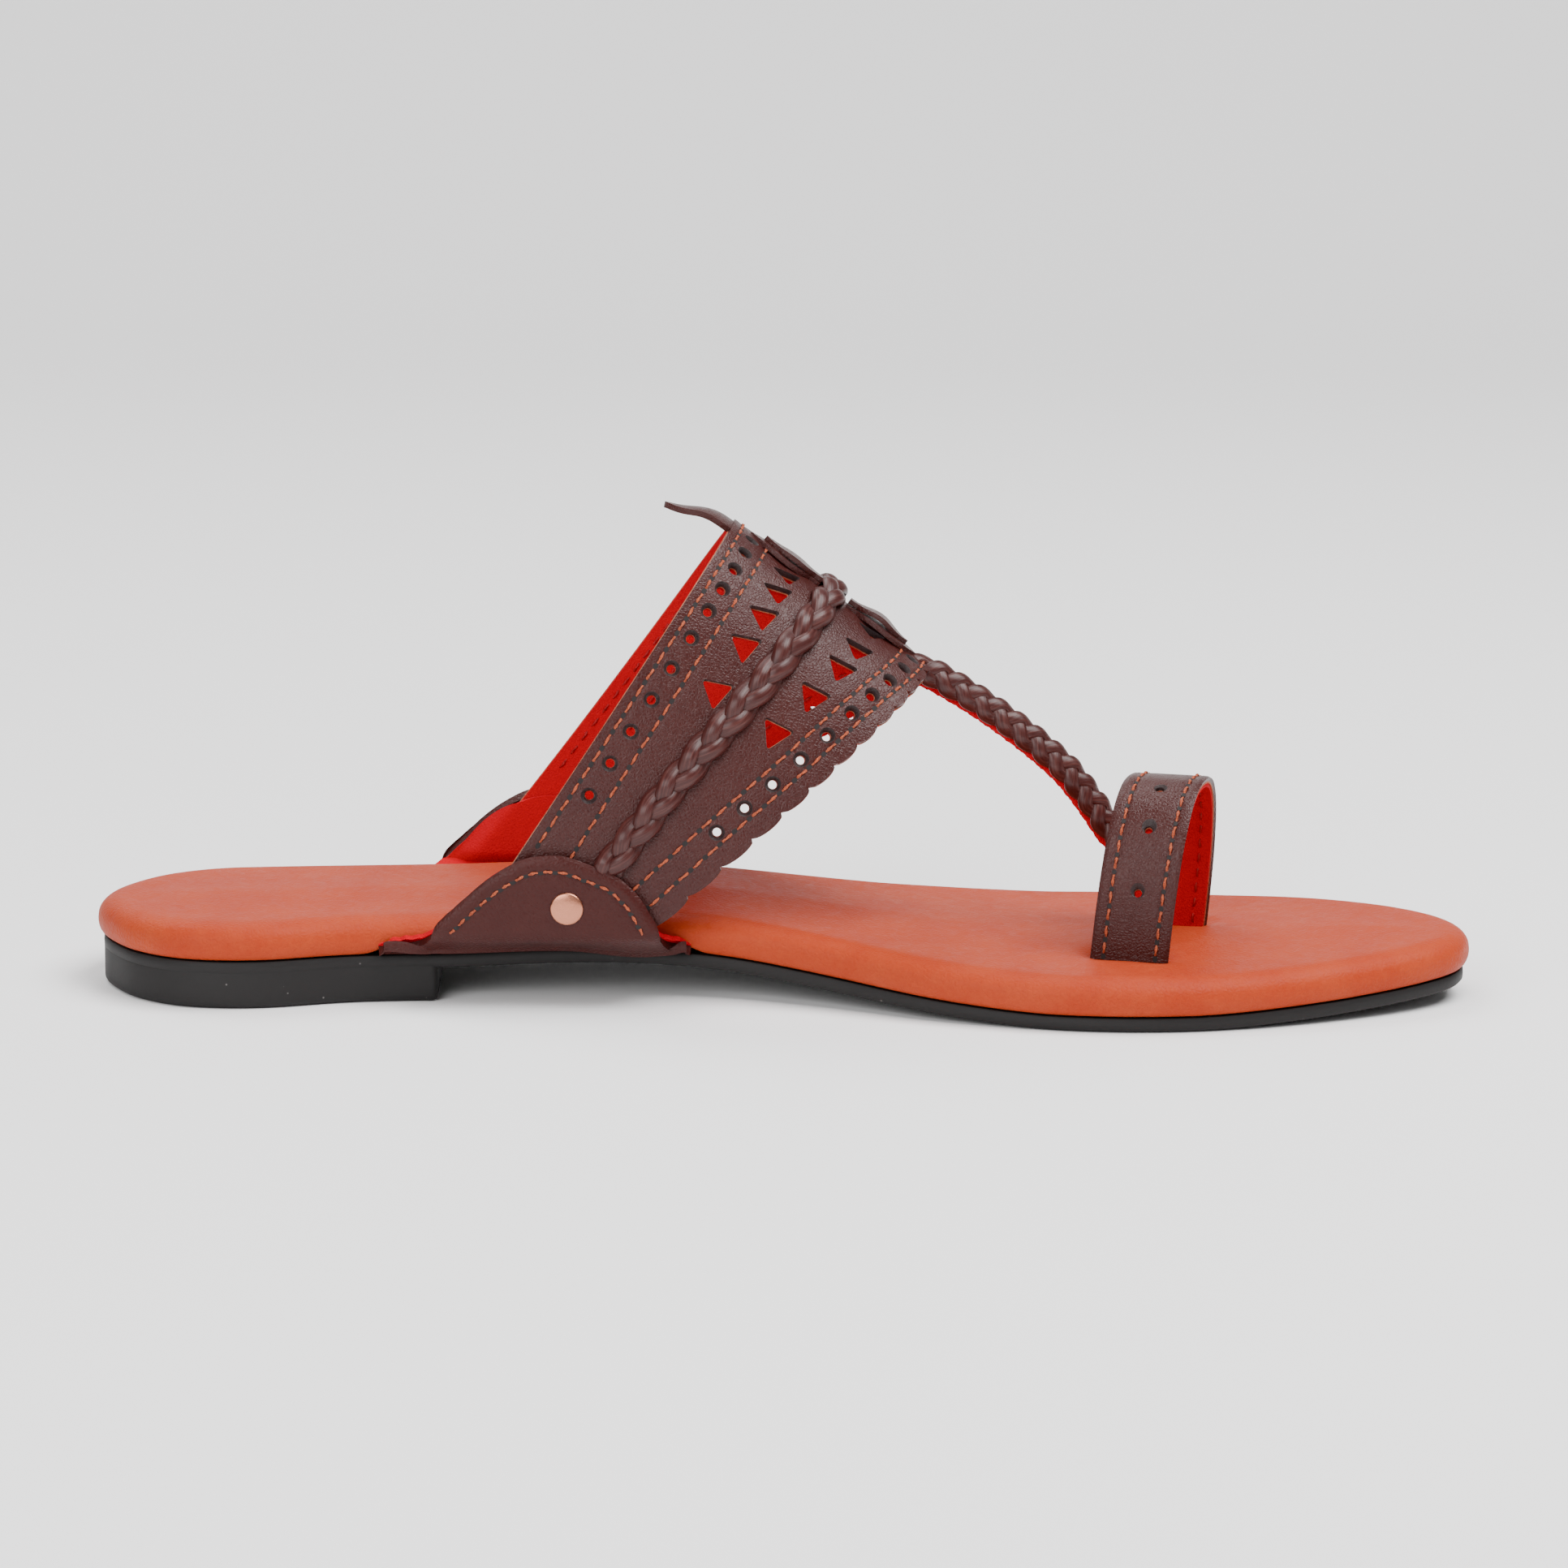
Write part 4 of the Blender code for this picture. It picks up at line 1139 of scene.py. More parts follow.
def thong_reader():
    """Reader of the toe strap by its length, with that length."""
    shares = np.linspace(0, 1, 240)
    lengths = lengths_of([thong_point(float(s)) for s in shares])

    def reader(distance):
        share = float(np.interp(distance, lengths, shares))
        point = thong_point(share)
        tangent = (thong_point(min(share + 0.01, 1)) - thong_point(max(share - 0.01, 0))).normalized()
        aside = Vector((0, 1, 0))
        aside = (aside - tangent * aside.dot(tangent)).normalized()
        up = aside.cross(tangent) * -1
        return point, aside, up if up.z > 0 else -up

    return reader, float(lengths[-1])


def build_toe_strap():
    """Toe strap: laces plaited in V shapes over a core of red lining, which shows along its lower edge."""
    reader, reach = thong_reader()
    bm = bmesh.new()
    roll = radians(58)

    def rolled(distance):
        point, aside, up = reader(distance)
        point = point - up * 0.0010
        return point, aside * cos(roll) + up * sin(roll), up * cos(roll) - aside * sin(roll)

    plait(
        bm, rolled, 0.0, reach, THONG_PITCH, 0.00205, 0.00036, lace(0.0027, 0.0011), steps=36,
        bend=(0.0022, 0.0018), wobble=0.04,
    )
    piece("toe_strap_laces", bm, "brown_laces")
    core = bmesh.new()
    path, normals = [], []
    for i in range(121):
        point, aside, up = rolled(reach * i / 120)
        path.append(point - up * 0.0011 - aside * 0.0003)
        normals.append(up)
    sweep(core, path, normals, lambda i: oval(0.0046 + 0.0003 * sin(i * 1.9) * sin(i * 0.7), 0.0018))
    piece("toe_strap_core", core, "red_suede_lining")


# Big-toe loop


def loop_layer(bm, height, rows, grow, relief):
    """One layer of the toe loop at a height over the toe, a little larger at its long edges."""

    def place(u, v):
        run = lerp(-1.09, 1.09, u)
        if abs(run) > 1:
            # Past its feet the loop goes straight down into the footbed
            run = (1 if run > 0 else -1) * (1 + (abs(run) - 1) / 0.09 * LOOP_SUNK)
        breadth = (1 - 2 * v) * (1 + grow * 2 / LOOP_BAND)
        dip = 0.0
        if relief:
            away = (abs(breadth) - 1) * LOOP_BAND / 2 + LOOP_SEAM
            dip = -0.00016 * exp(-((away / 0.0007) ** 2)) - 0.0002 * smooth_step((abs(breadth) - 0.93) / 0.07)
        return loop_point(run, breadth, height + dip)

    return grid(bm, 120, rows, place)


def build_toe_loop():
    """Big-toe loop: brown leather outside, red lining inside and the raw split between them."""
    split = LINING + FLESH
    layers = (
        ("toe_loop_leather", split, LOOP_WALL, 0.0, 36, "brown_leather", (0.00072, 0.00080, 0.00118), True),
        ("toe_loop_split", LINING, split, 0.00012, 6, "raw_leather_edge", (0.00070, 0.00070, 0.00070), False),
        ("toe_loop_lining", 0.0, LINING, 0.0, 6, "red_suede_lining", (0.00072, 0.00072, 0.00072), False),
    )
    for name, base, top, grow, rows, finish, radii, relief in layers:
        bm = bmesh.new()
        loop_layer(bm, base, rows, grow, relief)
        obj = piece(name, bm, finish)
        thicken(obj, top - base)
        cutter = bmesh.new()
        for run in LOOP_HOLES:
            inside, outside = loop_point(run, 0), loop_point(run, 0, LOOP_WALL)
            normal = (outside - inside).normalized()
            add_punch(cutter, disc(20), radii, inside, normal, LOOP[3], base, top)
        # The leather layer's hole walls are near black: a dyed edge with painted shade inside the holes
        punch(obj, cutter, "punched_wall_dye_and_shade" if relief else finish)


def loop_reader(breadth, height):
    """Readers of a row over the toe loop by its length, with that length."""
    runs = np.linspace(-1.0, 1.0, 300)
    lengths = lengths_of([loop_point(float(r), breadth, height) for r in runs])

    def point_of(distance):
        return loop_point(float(np.interp(distance, lengths, runs)), breadth, height)

    def normal_of(distance):
        run = float(np.interp(distance, lengths, runs))
        return (loop_point(run, breadth, height + 0.001) - loop_point(run, breadth, height)).normalized()

    return point_of, normal_of, float(lengths[-1])


def build_loop_stitches():
    """Stitches along both edges of the toe loop."""
    threads, pits, under = bmesh.new(), bmesh.new(), bmesh.new()
    for side in (-1, 1):
        breadth = side * (1 - 2 * LOOP_SEAM / LOOP_BAND)
        point_of, normal_of, reach = loop_reader(breadth, LOOP_WALL - 0.00012)
        count = round(reach / LOOP_STITCH_PITCH)
        pitch = reach / count
        stitch_row(threads, point_of, normal_of, count, 0.0, pitch, pitch * 0.76)
        pierced_row(pits, point_of, normal_of, count, 0.0, pitch)
        point_of, normal_of, inner = loop_reader(breadth, 0.0)
        inwards = lambda d, read=normal_of: -read(d)
        stitch_row(under, point_of, inwards, count, 0.0, inner / count, inner / count * 0.72, UNDER_WIDTH)
    piece("toe_loop_stitches", threads, "orange_thread")
    # The pits are near black: painted shade of the needle holes
    piece("toe_loop_stitch_pits", pits, "needle_hole_painted_shade")
    piece("toe_loop_lining_stitches", under, "red_thread")


# Side flaps and rivets


RIM_WAYS = [*DOME_REAR, *DOME_FRONT[::-1]]
RIM_RISES = [*DOME_HEIGHTS, *DOME_HEIGHTS[::-1]]
RIM_STEPS = np.hypot(np.diff(RIM_WAYS) * FLAP_WIDTH, np.diff(RIM_RISES) * FLAP_HEIGHT)
RIM_RUN = [0.0, *np.cumsum(RIM_STEPS).tolist()]


def rim_at(t):
    """Share of width and height on the rim of a flap, from its rear foot at 0 to its front foot at 1."""
    run = t * RIM_RUN[-1]
    return smooth_read(RIM_RUN, RIM_WAYS, run), max(smooth_read(RIM_RUN, RIM_RISES, run), 0.0)


RIM_TABLE = np.array([rim_at(i / 300) for i in range(301)]) * (FLAP_WIDTH, FLAP_HEIGHT)


def flap_point(side, way, rise, height=0.0):
    """Inner face of a flap at a share of its width and height. Below 0 is the flange under the footbed."""
    x = FLAP_REAR + (OUTER_SHIFT if side > 0 else 0.0) + FLAP_WIDTH * way
    seat = outsole_top(x / LENGTH) + CLEAR + FLAP_WALL
    edge = sole_edge(x / LENGTH, side)
    # The leather sags over the outsole's edge ahead of the rivet
    sag = 0.0012 * exp(-(((way - 0.82) / 0.15) ** 2)) * (1 - smooth_step(abs(rise) / 0.22))
    if rise < 0:
        return Vector((along(x), edge - side * FLANGE * -rise, seat - height - sag))
    z = seat + FLAP_HEIGHT * rise
    wall = last_side(x, z, side)[0] + side * (STRAP_WALL + CLEAR)
    swell = smooth_step((z - seat) / (STRAP_FOOT - CLEAR - seat))
    return Vector((along(x), lerp(edge + side * CLEAR, wall, swell) + side * height, z - sag))


def flap_dip(way, rise):
    """Rounded rim of the dome and the groove of its stitches, as a change of height."""
    if rise <= 0:
        return 0.0
    away = float(np.min(np.hypot(RIM_TABLE[:, 0] - way * FLAP_WIDTH, RIM_TABLE[:, 1] - rise * FLAP_HEIGHT)))
    groove = exp(-(((away - FLAP_SEAM) / 0.0006) ** 2))
    return -0.00014 * groove - 0.00040 * smooth_step((0.0009 - away) / 0.0009) ** 2


def build_flaps():
    """Side flaps: leather domes that come up round the footbed's edge over the strap's ends."""
    for side, word in ((-1, "inner"), (1, "outer")):
        bm = bmesh.new()

        def place(u, v, side=side):
            way, top = rim_at(u if side < 0 else 1 - u)
            rise = lerp(-0.75, 0.0, v / 0.1) if v < 0.1 else top * ((v - 0.1) / 0.9) ** 0.8
            return flap_point(side, way, rise, flap_dip(way, rise))

        grid(bm, 150, 60, place)
        flap = piece(f"flap_leather_{word}", bm, "flap_brown_leather", (f"side_flap_{word}",))
        thicken(flap, FLAP_WALL)
        settle(flap)


def dome_line(side, height):
    """Line inside the rim of a dome, running on straight to the footbed at both ends."""
    marks = []
    for i in range(161):
        t = lerp(0.20, 0.875, i / 160)
        before, after = Vector(rim_at(t - 0.01)), Vector(rim_at(t + 0.01))
        ahead = Vector(((after.x - before.x) * FLAP_WIDTH, (after.y - before.y) * FLAP_HEIGHT)).normalized()
        way, rise = rim_at(t)
        marks.append(Vector((way * FLAP_WIDTH + ahead.y * FLAP_SEAM, rise * FLAP_HEIGHT - ahead.x * FLAP_SEAM)))
    first = marks[0] + (marks[0] - marks[12]) * (marks[0].y - 0.0003) / (marks[12].y - marks[0].y)
    last = marks[-1] + (marks[-1] - marks[-13]) * (marks[-1].y - 0.0003) / (marks[-13].y - marks[-1].y)
    marks = [first.lerp(marks[0], i / 20) for i in range(20)] + marks
    marks += [marks[-1].lerp(last, (i + 1) / 20) for i in range(20)]
    return [flap_point(side, mark.x / FLAP_WIDTH, max(mark.y, 0.0) / FLAP_HEIGHT, height) for mark in marks]


def line_reader(points, outward):
    """Readers of a polyline by its length, with the surface's outward direction, and that length."""
    lengths = lengths_of(points)
    table = np.array([list(p) for p in points])

    def point_of(distance):
        return Vector([float(np.interp(distance, lengths, table[:, k])) for k in range(3)])

    return point_of, lambda _distance: outward, float(lengths[-1])


def build_flap_stitches():
    """Stitches inside the rim of each flap."""
    threads, pits = bmesh.new(), bmesh.new()
    for side in (-1, 1):
        points = dome_line(side, FLAP_WALL - 0.0001)
        outward = Vector((0, side * 0.97, 0.24)).normalized()
        point_of, normal_of, reach = line_reader(points, outward)
        count = round(reach / FLAP_STITCH_PITCH)
        pitch = reach / count
        stitch_row(threads, point_of, normal_of, count, 0.0, pitch, pitch * 0.72)
        pierced_row(pits, point_of, normal_of, count, 0.0, pitch, (0.0007, 0.0005))
    piece("flap_stitches", threads, "orange_thread")
    # The pits are near black: painted shade of the needle holes
    piece("flap_stitch_pits", pits, "needle_hole_painted_shade")


def build_flap_linings():
    """Red lining domes on the foot's side of the strap's ends, curling out over the tips of the flaps."""
    bm = bmesh.new()
    for side in (-1, 1):

        def place(u, v, side=side):
            t = u if side < 0 else 1 - u
            way, top = rim_at(t)
            curl = exp(-(((t - 0.06) / 0.06) ** 2)) + exp(-(((t - 0.955) / 0.035) ** 2))
            ripple = 1 + 0.25 * sin(t * 190)
            rise = top * v + 0.040 * curl * ripple * v
            spot = flap_point(side, way, rise, -0.00015)
            wall, beyond = last_side(spot.x + HEEL_CENTRE, spot.z, side)
            weight = (1 - smooth_step(beyond / 0.0045)) * smooth_step((spot.z - STRAP_FOOT) / 0.0030 + 0.5)
            spot.y = lerp(spot.y, wall - side * 0.00015, weight)
            return spot

        faces = grid(bm, 150, 40, place)
        bmesh.ops.reverse_faces(bm, faces=faces)
    lining = piece("flap_linings", bm, "red_suede_lining")
    thicken(lining, FLAP_LINING)
    settle(lining)


def rivet_matrix(side):
    """Origin on the strap's inner face, Z out through strap and flap."""
    x = RIVET_PLACE[0] + (OUTER_SHIFT if side > 0 else 0.0)
    z = RIVET_PLACE[1]
    step = 0.0015

    def face(dx, dz):
        return Vector((along(x + dx), last_side(x + dx, z + dz, side)[0], z + dz))

    normal = (face(step, 0) - face(-step, 0)).cross(face(0, step) - face(0, -step)).normalized()
    normal = -normal if normal.y * side < 0 else normal
    return frame_at(face(0, 0), normal, Vector((0, 0, -1)))


def build_rivets():
    """Copper rivets: a low domed cap outside, a flat washer inside."""
    outside = STRAP_WALL + FLAP_WALL + 0.0002
    for side, word in ((-1, "inner"), (1, "outer")):
        bm = bmesh.new()
        radius = RIVET_RADIUS
        profile = [(0.0, outside + 0.00085)]
        for i in range(1, 13):
            share = i / 12
            profile.append((radius * 0.90 * share, outside + 0.00085 - 0.00030 * share**3))
        profile += [
            (radius * 0.96, outside + 0.00045),
            (radius, outside + 0.00022),
            (radius, outside),
            (radius * 0.5, outside - 0.0003),
            (radius * 0.5, -0.0012),
            (radius * 0.85, -0.0012),
            (radius * 0.87, -0.0015),
            (radius * 0.78, -0.0018),
            (0.0, -0.0019),
        ]
        verts = [bm.verts.new((x, 0, z)) for x, z in profile]
        edges = [bm.edges.new(pair) for pair in zip(verts, verts[1:])]
        bmesh.ops.spin(
            bm, geom=verts + edges, cent=(0, 0, 0), axis=(0, 0, 1), angle=tau, steps=40, use_merge=True
        )
        outwards(bm)
        bmesh.ops.transform(bm, matrix=rivet_matrix(side), verts=bm.verts)
        bmesh.ops.recalc_face_normals(bm, faces=bm.faces)
        piece(f"rivet_cap_{word}", bm, "satin_copper", (f"rivet_{word}",), angle=50)


# Leaves


def build_rosette():
    """Two pairs of cut leather leaves over the crown, stiff enough to stand clear of the strap."""
    middle = strap_breadth(1.0) / 2
    first = STRAP_WALL + CLEAR
    for word, way in (("back", -1), ("front", 1)):
        for layer, size, height in (
            ("base", LEAF_BASE, first),
            ("top", LEAF_TOP, first + LEAF_THICK + CLEAR * 0.5),
        ):
            centre = middle + way * (size[0] / 2 + LEAF_GAP + CROSS_WIDTH * 0.45)
            arch = 0.0002 if way < 0 else (0.0006 if layer == "base" else 0.0009)
            bm = bmesh.new()

            def place(u, v, size=size, height=height, centre=centre, way=way, arch=arch):
                run = 2 * u - 1
                taper = max(0.05, (1 - abs(run) ** 2.0) ** 0.9)
                if run * way < -0.35:
                    taper = max(taper, 0.50)
                share = (centre + run * size[0] / 2) / strap_breadth(1.0)
                aside = (2 * v - 1) * size[1] / 2 * taper
                bow = arch * cos(pi / 2 * run) ** 2 + 0.00008 * sin(run * 5 + height * 4000)
                spot = on_strap(share, pi / 2, height + bow)
                return spot + Vector((0, -aside, aside * 0.09 - 8.0 * aside**2))

            grid(bm, 40, 20, place)
            node = f"rosette_{word}_{layer}"
            leaf = piece(f"leaf_{word}_{layer}", bm, "brown_leather", (node,))
            thicken(leaf, LEAF_THICK)
            soften(leaf, LEAF_ROUND)


def build_back_leaf():
    """Pointed leaf that stands out behind the crown."""
    bm = bmesh.new()
    length, width = BACK_LEAF

    def place(u, v):
        taper = max(0.04, (1 - abs(2 * u * 0.86 - 0.72) ** 2.4) ** 0.8)
        aside = (1 - 2 * v) * width / 2 * taper
        angle = pi / 2 + aside / (STRAP_WIDTH / 2)
        seat = (STRAP_WALL - LEAF_THICK) / 2
        if u <= BACK_LEAF_ROOT:
            return on_strap((BACK_LEAF_ROOT - u) * length / strap_breadth(1.0), angle, seat)
        beyond = (u - BACK_LEAF_ROOT) / (1 - BACK_LEAF_ROOT)
        reach = length * (1 - BACK_LEAF_ROOT) * beyond
        lift = BACK_LEAF_LIFT * (1 - (1 - beyond) ** 2) + 0.0004 * sin(tau * beyond)
        spot = on_strap(0.0, angle, seat) + Vector((-reach, 0, lift))
        spot.z += (STRAP_CENTRE[1] - spot.y) * 0.10 * smooth_step(beyond * 2)
        return spot

    grid(bm, 44, 20, place)
    leaf = piece("back_leaf_leather", bm, "brown_leather", ("back_leaf",))
    thicken(leaf, BACK_LEAF_THICK)
    soften(leaf, LEAF_ROUND)


# Sole


def flap_weight(station, side):
    """1 where a flap passes round the footbed's edge, falling to 0 beside it."""
    start = FLAP_REAR + (OUTER_SHIFT if side > 0 else 0.0)
    x = station * LENGTH
    end = start + FLAP_WIDTH
    return smooth_step((x - start + 0.002) / 0.004) * smooth_step((end + 0.002 - x) / 0.004)


def sole_sheet(bm, levels, base, thick, half_count, rungs, shape=None):
    """Closed sheet with the sole's outline. Levels lists (inset, share of the height) from below."""
    loop = outline_loop(half_count)
    loops = [inset_loop(loop, inset) for inset, _share in levels]
    count = 2 * half_count
    bottom, top = loops[0], loops[-1]
    strips = []
    for k in range(rungs, 0, -1):
        strips.append(("bottom", k / rungs))
    for k in range(len(levels)):
        strips.append(("outer", k))
    for k in range(1, rungs):
        strips.append(("top", k / rungs))
    for k in range(len(levels) - 1, -1, -1):
        strips.append(("inner", k))

    def place(u, v):
        i = round(u * half_count)
        kind, k = strips[round(v * len(strips)) % len(strips)]
        mirrored = (count - i) % count
        if kind in ("outer", "inner"):
            spot = loops[k][i if kind == "outer" else mirrored]
            share, inward = levels[k][1], 0.0
            side = 1 if kind == "outer" else -1
        else:
            rim = bottom if kind == "bottom" else top
            spot = rim[i].lerp(rim[mirrored], k)
            share = 0.0 if kind == "bottom" else 1.0
            side = 1 if k < 0.5 else -1
            inward = min(k, 1 - k) * (rim[i] - rim[mirrored]).length / 0.030
        station = min(max(spot.x / LENGTH, 0.0), 1.0)
        point = Vector((along(spot.x), spot.y, base(station) + share * thick))
        return shape(point, station, side, share, inward) if shape else point

    grid(bm, half_count, len(strips), place)
    outwards(bm)


def footbed_levels():
    """Inset and height of the footbed's padded edge, as an even rounding."""
    rows = [(0.0032, 0.0), (0.0014, 0.02), (0.0006, 0.10), (0.0002, 0.22), (0.0, 0.36), (0.00005, 0.48)]
    for i in range(1, 9):
        angle = pi / 2 * i / 8
        rows.append((0.00005 + FOOTBED_ROUND * (1 - cos(angle)) * 0.92, 0.48 + 0.52 * sin(angle)))
    rows.append((0.0075, 1.0))
    return rows


def build_footbed():
    """Padded footbed: soft tan leather drawn over foam and turned under at the edge."""
    bm = bmesh.new()
    foot, across, _up, ahead = LOOP

    def shape(point, station, side, share, inward):
        crown = 0.0
        if share == 1.0:
            crown = FOOTBED_CROWN * smooth_step(inward)
            for leg in (-1, 1):
                away = point - (foot + across * leg * (LOOP_SPAN - LOOP_WALL) / 2)
                gap_x = max(abs(away.dot(ahead)) - LOOP_BAND / 2, 0.0)
                gap_y = max(abs(away.dot(across)) - LOOP_WALL / 2, 0.0)
                crown -= FOOTBED_DIMPLE * exp(-((sqrt(gap_x**2 + gap_y**2) / DIMPLE_REACH) ** 2))
        if share < 0.2:
            crown += (FLAP_WALL + CLEAR) * flap_weight(station, side) * (1 - share / 0.2)
        point.z += crown
        return point

    def base(station):
        return outsole_top(station) + CLEAR * 0.4

    sole_sheet(bm, footbed_levels(), base, FOOTBED_THICK + CLEAR * 0.6, 170, 26, shape)
    footbed = piece("footbed_pad", bm, "tan_sheep_leather", ("footbed",), angle=80)
    soft = footbed.modifiers.new("soft", "SUBSURF")
    soft.levels = soft.render_levels = 1
    settle(footbed, 80)


def build_outsole():
    """Outsole and heel block in black rubber."""
    bm = bmesh.new()
    edge = ((OUTSOLE_ROUND, 0.0), (0.0004, 0.06), (0.0, 0.22), (-0.00005, 0.6), (0.0, 0.9), (0.0002, 1.0))
    rows = [(OUTSOLE_INSET + inset, share) for inset, share in edge]
    sole_sheet(bm, rows, underside, OUTSOLE_THICK, 120, 8)
    piece("outsole_rubber_sheet", bm, "black_rubber", ("outsole",), angle=50)

    bm = bmesh.new()
    half_count = 120
    loop = inset_loop(outline_loop(half_count), OUTSOLE_INSET)
    limit = HEEL_LENGTH - 0.0025
    outer = [p for p in loop[:half_count] if p.x < limit]
    inner = [p for p in loop[half_count:] if p.x < limit]
    breast = HEEL_LENGTH / LENGTH
    corners = [
        Vector((HEEL_LENGTH + slant, sole_edge(breast, side) - side * OUTSOLE_INSET))
        for side, slant in ((1, -0.0018), (-1, 0.0009))
    ]
    rim = [bm.verts.new((along(p.x), p.y, 0.0)) for p in outer + corners + inner]
    face = bmesh.ops.contextual_create(bm, geom=rim)["faces"]
    raised = bmesh.ops.extrude_face_region(bm, geom=face)["geom"]
    bmesh.ops.translate(
        bm, verts=[v for v in raised if isinstance(v, bmesh.types.BMVert)], vec=(0, 0, HEEL_LIFT + HEEL_OVERLAP)
    )
    outwards(bm)
    heel = piece("heel_rubber_block", bm, "black_rubber", ("heel_block",), angle=50)
    soften(heel, 0.0013, 5)


# Stage


def build_stage():
    """Pale floor and backdrop, soft lights and the camera at the photograph's angle."""
    scene = bpy.context.scene
    bm = bmesh.new()

    def place(u, v):
        y = lerp(-2.4, 1.6, v)
        z = 0.0 if y < 0.9 else (y - 0.9) ** 2 * 1.6
        return Vector((lerp(-2.6, 2.8, u), y, z - 0.0001))

    grid(bm, 8, 60, place)
    mesh = bpy.data.meshes.new("floor")
    bm.to_mesh(mesh)
    bm.free()
    mesh.shade_smooth()
    floor = bpy.data.objects.new("floor", mesh)
    scene.collection.objects.link(floor)
    # Matt white paper sweep, so that only the contact shadow shows.
    made, _tree, _shader = new_material("white_paper", "#F7F6F6", 0.9)
    mesh.materials.append(made)

    world = bpy.data.worlds.new("studio") if scene.world is None else scene.world
    scene.world = world
    world.use_nodes = True
    background = next(n for n in world.node_tree.nodes if n.type == "BACKGROUND")
    background.inputs["Color"].default_value = linear("#FFFFFF")
    background.inputs["Strength"].default_value = WORLD_LIGHT

    lights = (
        # name, place, energy, width, height
        ("key_softbox", (0.60, -0.20, 1.08), 28.0, 1.0, 0.85),
        ("front_softbox", (-0.45, -1.05, 0.60), 14.0, 1.0, 0.8),
        ("top_softbox", (-0.35, 0.60, 1.10), 12.0, 1.0, 0.9),
    )
    target = Vector((0.08, 0, 0.02))
    for name, place_at, energy, width, height in lights:
        data = bpy.data.lights.new(name, "AREA")
        data.energy = energy
        data.shape = "RECTANGLE"
        data.size = width
        data.size_y = height
        lamp = bpy.data.objects.new(name, data)
        lamp.location = place_at
        lamp.rotation_euler = (target - Vector(place_at)).to_track_quat("-Z", "Y").to_euler()
        scene.collection.objects.link(lamp)

    looks = scene.sandal_looks
    data = bpy.data.cameras.new("camera")
    data.sensor_width = 36.0
    data.lens = looks.lens
    data.shift_x, data.shift_y = CAMERA_SHIFT
    data.clip_start = 0.01
    camera = bpy.data.objects.new("camera", data)
    level = cos(CAMERA_ELEVATION)
    back = Vector((sin(CAMERA_AZIMUTH) * level, -cos(CAMERA_AZIMUTH) * level, sin(CAMERA_ELEVATION)))
    camera.location = Vector(CAMERA_TARGET) + back * CAMERA_DISTANCE
    camera.rotation_euler = (-back).to_track_quat("-Z", "Y").to_euler()
    scene.collection.objects.link(camera)
    scene.camera = camera


# Add-on classes


class SandalLooks(bpy.types.PropertyGroup):
    """Colours and lens that a user may change before building."""

    upper_colour: bpy.props.FloatVectorProperty(
        name="Upper leather", description="Dye of the strap and flaps", subtype="COLOR_GAMMA", size=3,
        min=0, max=1, default=(0.215, 0.064, 0.052),
    )
    footbed_colour: bpy.props.FloatVectorProperty(
        name="Footbed leather", description="Dye of the padded footbed", subtype="COLOR_GAMMA", size=3,
        min=0, max=1, default=(0.615, 0.195, 0.080),
    )
    lining_colour: bpy.props.FloatVectorProperty(
        name="Lining", description="Dye of the strap's lining", subtype="COLOR_GAMMA", size=3,
        min=0, max=1, default=(0.70, 0.0, 0.085),
    )
    thread_colour: bpy.props.FloatVectorProperty(
        name="Thread", description="Colour of the stitches", subtype="COLOR_GAMMA", size=3,
        min=0, max=1, default=(0.52, 0.215, 0.13),
    )
    lens: bpy.props.FloatProperty(
        name="Lens", description="Focal length of the camera in millimetres", default=164.0, min=20, max=400
    )


class SANDAL_OT_stage(bpy.types.Operator):
    """Builds the floor, the lights and the camera."""

    bl_idname = "sandal.stage"
    bl_label = "Stage"

    def execute(self, _context):
        build_stage()
        return {"FINISHED"}


class SANDAL_OT_sole(bpy.types.Operator):
    """Builds the padded footbed, the outsole and the heel block."""

    bl_idname = "sandal.sole"
    bl_label = "Sole"

    def execute(self, _context):
        build_footbed()
        build_outsole()
        return {"FINISHED"}


class SANDAL_OT_strap(bpy.types.Operator):
    """Builds the punched instep strap with its lining and stitches."""

    bl_idname = "sandal.strap"
    bl_label = "Instep strap"

    def execute(self, _context):
        build_strap()
        build_strap_stitches()
        return {"FINISHED"}


class SANDAL_OT_plaits(bpy.types.Operator):
    """Builds the cross braid and the plaited toe strap."""

    bl_idname = "sandal.plaits"
    bl_label = "Plaits"

    def execute(self, _context):
        build_cross_braid()
        build_toe_strap()
        return {"FINISHED"}


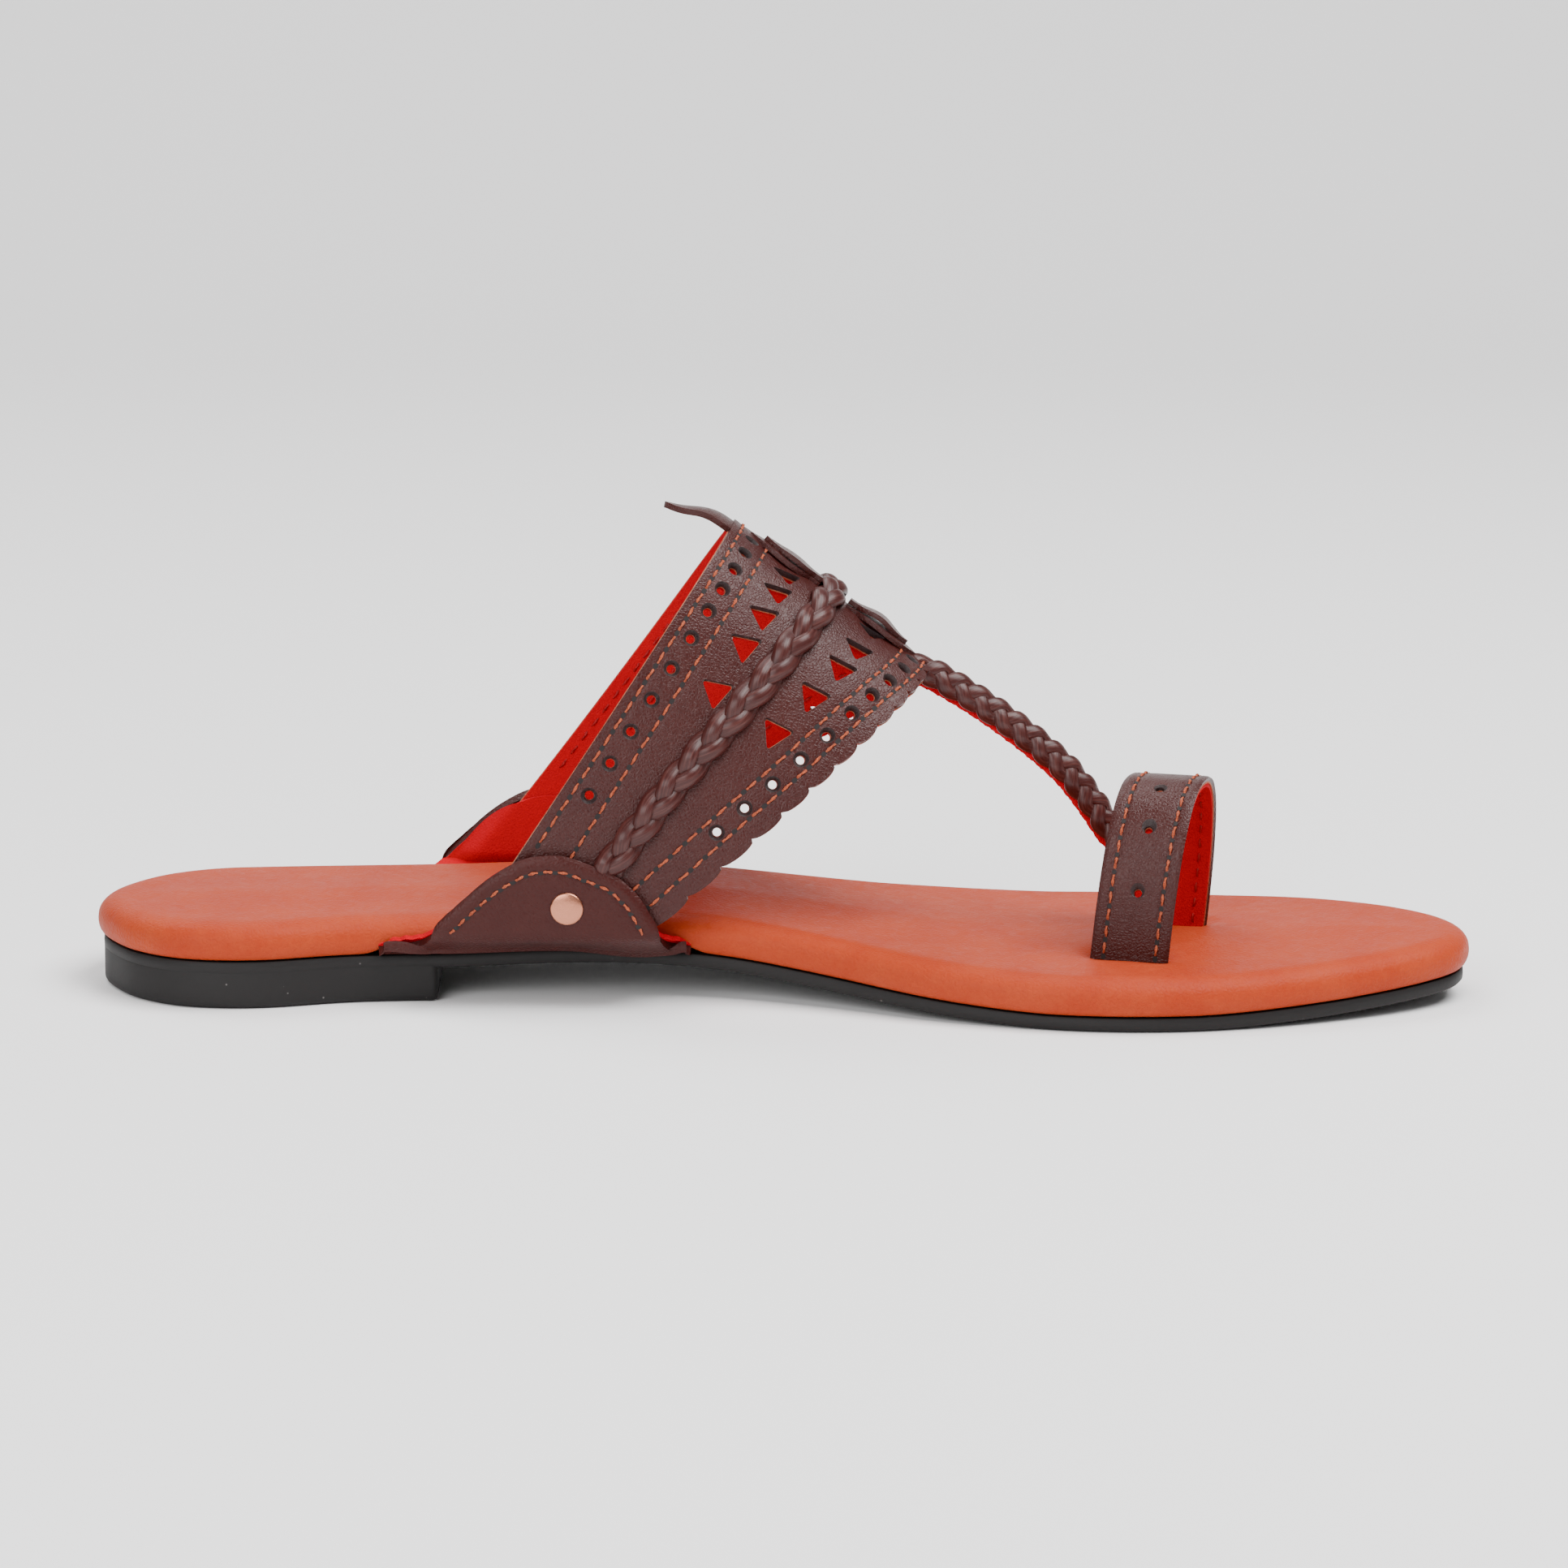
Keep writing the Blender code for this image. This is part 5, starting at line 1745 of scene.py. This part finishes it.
class SANDAL_OT_toe_loop(bpy.types.Operator):
    """Builds the lined and stitched big-toe loop."""

    bl_idname = "sandal.toe_loop"
    bl_label = "Big-toe loop"

    def execute(self, _context):
        build_toe_loop()
        build_loop_stitches()
        return {"FINISHED"}


class SANDAL_OT_flaps(bpy.types.Operator):
    """Builds the side flaps with their stitches, linings and rivets."""

    bl_idname = "sandal.flaps"
    bl_label = "Side flaps"

    def execute(self, _context):
        build_flaps()
        build_flap_stitches()
        build_flap_linings()
        build_rivets()
        return {"FINISHED"}


class SANDAL_OT_leaves(bpy.types.Operator):
    """Builds the leather leaves on the crown."""

    bl_idname = "sandal.leaves"
    bl_label = "Leaves"

    def execute(self, _context):
        build_rosette()
        build_back_leaf()
        return {"FINISHED"}


OPERATORS = (
    SANDAL_OT_stage,
    SANDAL_OT_sole,
    SANDAL_OT_strap,
    SANDAL_OT_plaits,
    SANDAL_OT_toe_loop,
    SANDAL_OT_flaps,
    SANDAL_OT_leaves,
)


class SANDAL_PT_panel(bpy.types.Panel):
    """Lists the build steps in the sidebar."""

    bl_label = "Sandal"
    bl_idname = "SANDAL_PT_panel"
    bl_space_type = "VIEW_3D"
    bl_region_type = "UI"
    bl_category = "Sandal"

    def draw(self, context):
        looks = context.scene.sandal_looks
        for name in SandalLooks.__annotations__:
            self.layout.prop(looks, name)
        for made in OPERATORS:
            self.layout.operator(made.bl_idname)


CLASSES = (SandalLooks, *OPERATORS, SANDAL_PT_panel)


def register():
    for cls in CLASSES:
        bpy.utils.register_class(cls)
    bpy.types.Scene.sandal_looks = bpy.props.PointerProperty(type=SandalLooks)


def unregister():
    del bpy.types.Scene.sandal_looks
    for cls in reversed(CLASSES):
        bpy.utils.unregister_class(cls)


def main():
    register()
    bpy.ops.sandal.stage()
    bpy.ops.sandal.sole()
    bpy.ops.sandal.strap()
    bpy.ops.sandal.plaits()
    bpy.ops.sandal.toe_loop()
    bpy.ops.sandal.flaps()
    bpy.ops.sandal.leaves()
    bpy.context.view_layer.update()


if __name__ == "__main__":
    main()
